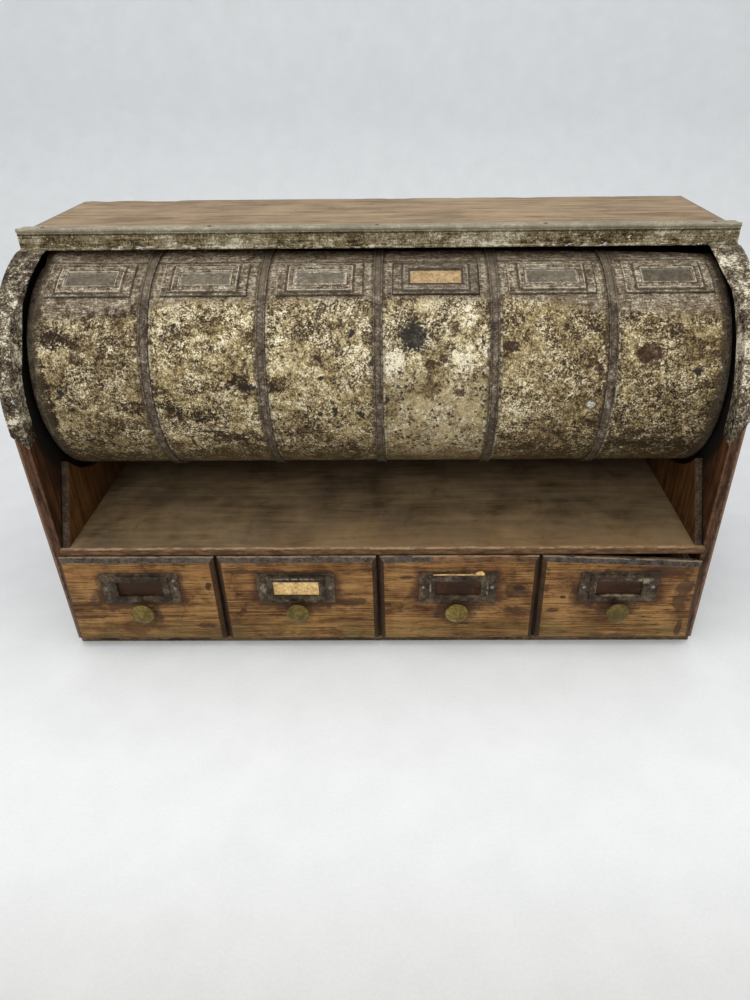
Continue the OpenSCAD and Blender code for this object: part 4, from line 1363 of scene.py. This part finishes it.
@dataclass
class Drum(Assembly):
    """The drum with its ribs and label holders. The lip leans, higher at the left.

    Each lean is a place along the drum, the turn in degrees and the push outwards.
    """

    body: str = "drum"
    lip: float = 91.0
    bend_from: float = 60.0
    bulge_from: float = 70.0
    leans: tuple[Triple, ...] = (
        (-193, 1, 5.4), (-182, 4, 5.2), (-165, 8, 4.2), (-150, 10, 3.4), (-100, 9, 2.8),
        (-66, 8, 2.4), (-50, 7, 0.9), (-25, 6, 0.6), (25, 6, 0.4), (55, 6, 0.4), (97, 4, 0.2),
        (120, 3, 0), (170, -2, 0), (193, -6, 0))
    widen: float = 2.2
    slices: int = 64

    def build(self) -> None:
        """Bends the lip, softens the label holders and coats everything."""
        low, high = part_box("drum_sheet")
        sheet, ribs, holders = map(Bench.copy_of, ("drum_sheet", "drum_ribs", "drum_label_holders"))
        Bench.slice(sheet, 0, [low.x + (high.x - low.x) * i / self.slices
                               for i in range(1, self.slices)])
        self.bend(sheet, 1.0)
        self.adopt(sheet, "drum_sheet", DRUM_SHEET, ending="bent")
        self.bend(ribs, 1.0)
        self.adopt(ribs, "drum_ribs", DRUM_RIBS, ending="bent")
        for side, seed in (("left", 71), ("right", 73)):
            self.finish(f"drum_end_{side}", None, END_TIN, seed)
            self.finish(f"drum_hub_{side}", Wear(0.2), STEEL, seed + 1)
        self.finish("drum_partitions", Wear(0.5), PARTITION_WOOD, 75)
        self.flatten(holders, DRUM_RADIUS + 1.0, 0.55)
        self.bend(holders, 0.0)
        Bench.soften(holders, Wear(0.3, 3))
        self.adopt(holders, "drum_label_holders", DRUM_HOLDERS)
        self.keep("drum_label_blanks", DRUM_BLANKS)
        self.finish("drum_label_card", None, DRUM_CARD, 79)

    @staticmethod
    def flatten(work: Work, above: float, share: float) -> None:
        """Lowers what stands out past a radius.

        Args:
            work: the mesh.
            above: the radius in millimetres.
            share: what is left of the height past it.
        """
        for vertex in work.verts:
            out = Vector((0.0, vertex.co.y - DRUM_Y * MM, vertex.co.z - DRUM_Z * MM))
            extra = out.length - above * MM
            if extra > 0:
                vertex.co -= out.normalized() * (extra * (1.0 - share))

    def lean_at(self, x: float) -> tuple[float, float]:
        """How far the lip is turned and pushed out at a place along the drum.

        Args:
            x: the place in millimetres.

        Returns:
            The turn in degrees and the push in millimetres.
        """
        for (x0, turn0, push0), (x1, turn1, push1) in zip(self.leans, self.leans[1:]):
            if x <= x1:
                share = max(0.0, (x - x0) / (x1 - x0))
                return turn0 + (turn1 - turn0) * share, push0 + (push1 - push0) * share
        return self.leans[-1][1:]

    def bend(self, work: Work, turning: float) -> None:
        """Turns and pushes out what lies near the lip, and widens it at the upper left.

        Args:
            work: the mesh.
            turning: share of the turn that it takes.
        """
        for vertex in work.verts:
            x, y, z = vertex.co.x / MM, vertex.co.y / MM - DRUM_Y, vertex.co.z / MM - DRUM_Z
            angle = math.degrees(math.atan2(z, -y))
            if not self.bend_from < angle < self.lip + 20.0:
                continue
            lean, push = self.lean_at(x)
            turned, pushed = (eased((angle - start) / (self.lip - start))
                              for start in (self.bend_from, self.bulge_from))
            turn = math.radians(angle + lean * turned * turning)
            radius = math.hypot(y, z) + push * pushed
            left, upper = eased((-150.0 - x) / 40.0), eased((angle - 64.0) / 22.0)
            vertex.co.x -= self.widen * MM * left * upper * turning
            vertex.co.y = (DRUM_Y - radius * math.cos(turn)) * MM
            vertex.co.z = (DRUM_Z + radius * math.sin(turn)) * MM


@dataclass
class Drawer(Assembly):
    """One drawer with its front, box, knob and label holder."""

    oak: Front = FRONT_OAK
    knob_shade: float = 0.85

    def build(self) -> None:
        """Wears and coats the drawer's pieces."""
        name, seed = self.body, 100 + 20 * int(self.body[-1])
        for step, (kind, wear, look) in enumerate((
                ("front", Wear(0.3), self.oak), ("sides", Wear(0.4), DRAWER_WOOD),
                ("back", Wear(0.4), DRAWER_FLOOR), ("bottom", Wear(0.4), DRAWER_FLOOR),
                ("knob", None, BRASS.shaded(self.knob_shade)),
                ("label_holder", Wear(0.35, 3), BRONZE), ("holder_pins", None, STEEL),
                ("card", None, DRAWER_CARD))):
            if f"{name}_{kind}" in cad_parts:
                self.finish(f"{name}_{kind}", wear, look, seed + step + min(step, 1))


def four_drawers() -> list[Drawer]:
    """Gives the drawers their own knots and stains, placed across and up in millimetres.

    Returns:
        The drawers from left to right.
    """
    return [
        Drawer("drawer_1", knob_shade=0.78, oak=replace(
            FRONT_OAK, holder_x=-150.9, knots=((-108.6, 51, 2.2, 3.2), (-150.9, 49.8, 19, 8)),
            grime=((-168, 40, 17, 10), (-146, 42, 22, 7), (-151, 28, 9, 9), (-114, 19, 6, 2.4)))),
        Drawer("drawer_2", knob_shade=0.76, oak=replace(
            FRONT_OAK, holder_x=-53.4, knots=((-88.5, 31.7, 2.2, 1), (-90, 44.7, 2.6, 1)),
            grime=((-52, 38, 20, 9), (-20, 38, 14, 3), (-86, 62, 10, 2)))),
        Drawer("drawer_3", knob_shade=0.98, oak=replace(
            FRONT_OAK, holder_x=47.6, soot_end=34.0,
            knots=((85.9, 48.8, 3.6, 2.6), (50, 49.8, 12, 5)),
            grime=((17, 57.3, 5, 2), (45, 47.8, 25, 12), (47, 30, 16, 9), (84, 46, 9, 6),
                   (85, 31, 8, 3)))),
        Drawer("drawer_4", knob_shade=0.5, oak=replace(
            FRONT_OAK, holder_x=147.6, knots=((114.1, 41.5, 2, 1.6), (152, 49, 10, 4)),
            grime=((108.2, 31, 4, 1.6), (144.6, 47.8, 26, 12.5), (189, 44, 6, 14),
                   (191, 15, 2.4, 9), (176, 62, 20, 4), (148, 34, 15, 9)))),
    ]


@dataclass
class Studio:
    """The floor, the lamps and the camera, in metres and radians."""

    lens: float = 26.375
    shift: tuple[float, float] = (-0.02644, 0.01068)
    seat: Triple = (0.01796, -0.44035, 0.33536)
    pitch: float = 0.5651
    yaw: float = -0.0137
    roll: float = -0.0118
    floor_half: float = 2.5
    bend_start: float = 0.75
    bend_radius: float = 0.25
    bend_steps: int = 12
    wall_top: float = 2.6

    def build(self) -> None:
        """Makes the camera, floor, world and lamps."""
        self.set_camera()
        self.lay_floor()
        self.set_world()
        self.hang_lamp("overhead", (0.0, 0.0, 1.5), (0.0, 0.0, 0.0), 1.6, 8.5)
        self.hang_lamp("front_fill", (-0.3, -1.6, 1.3), (0.0, 0.0, 0.12), 1.4, 11.0)
        bpy.context.scene.view_settings.view_transform = "Standard"

    def set_camera(self) -> None:
        """Places the camera as the photograph's."""
        ahead = Vector((math.sin(self.yaw), math.cos(self.yaw), 0))
        side = Vector((math.cos(self.yaw), -math.sin(self.yaw), 0))
        rise = Vector((0, 0, 1))
        look = math.cos(self.pitch) * ahead - math.sin(self.pitch) * rise
        up = math.sin(self.pitch) * ahead + math.cos(self.pitch) * rise
        right = math.cos(self.roll) * side + math.sin(self.roll) * up
        over = -math.sin(self.roll) * side + math.cos(self.roll) * up
        data = bpy.data.cameras.new("camera")
        data.lens = self.lens
        data.sensor_width = 36.0
        data.sensor_fit = "AUTO"
        data.shift_x, data.shift_y = self.shift
        data.clip_start = 0.01
        camera = placed("camera", data)
        turn = Matrix((right, over, -look)).transposed()
        camera.matrix_world = Matrix.Translation(self.seat) @ turn.to_4x4()
        bpy.context.scene.camera = camera

    def lay_floor(self) -> None:
        """Makes a plain pale floor that curves up into a backdrop."""
        work = bmesh.new()
        half, start, radius = self.floor_half, self.bend_start, self.bend_radius
        points = [(-half, 0.0), (start, 0.0)]
        for i in range(1, self.bend_steps + 1):
            turn = math.pi / 2 * i / self.bend_steps
            points.append((start + radius * math.sin(turn), radius - radius * math.cos(turn)))
        points.append((start + radius, self.wall_top))
        line = [work.verts.new((-half, y, z)) for y, z in points]
        edges = [work.edges.new(pair) for pair in zip(line, line[1:])]
        grown = bmesh.ops.extrude_edge_only(work, edges=edges)
        new = [item for item in grown["geom"] if isinstance(item, bmesh.types.BMVert)]
        bmesh.ops.translate(work, verts=new, vec=(2 * half, 0, 0))
        bmesh.ops.recalc_face_normals(work, faces=work.faces)
        if sum(face.normal.z for face in work.faces) < 0:
            bmesh.ops.reverse_faces(work, faces=work.faces)
        mesh = bpy.data.meshes.new("floor")
        work.to_mesh(mesh)
        work.free()
        mesh.shade_smooth()
        coats = FloorCoats("pale_floor")
        coats.lay()
        mesh.materials.append(coats.material)
        placed("floor", mesh)

    @staticmethod
    def set_world() -> None:
        """Sets an even pale world."""
        world = bpy.data.worlds.new("world")
        world.use_nodes = True
        back = world.node_tree.nodes["Background"]
        back.inputs["Color"].default_value = (0.95, 0.975, 1.0, 1.0)
        back.inputs["Strength"].default_value = 0.77
        bpy.context.scene.world = world

    @staticmethod
    def hang_lamp(name: str, seat: Triple, aim: Triple, size: float, power: float) -> None:
        """Hangs one soft lamp.

        Args:
            name: its name.
            seat: its place.
            aim: the point that it faces.
            size: its width.
            power: its power in watts.
        """
        data = bpy.data.lights.new(name, "AREA")
        data.shape = "DISK"
        data.size = size
        data.energy = power
        lamp = placed(name, data)
        lamp.location = seat
        lamp.rotation_euler = (Vector(aim) - Vector(seat)).to_track_quat("-Z", "Y").to_euler()


def main() -> None:
    """Builds the assemblies in order."""
    Studio().build()
    for group in (Case(), Trim(), Drum(), *four_drawers()):
        group.build()
        for name in group.pieces:
            log.info("%s carries %s", group.body, name)


if __name__ == "__main__":
    logging.basicConfig(level=logging.INFO)
    main()
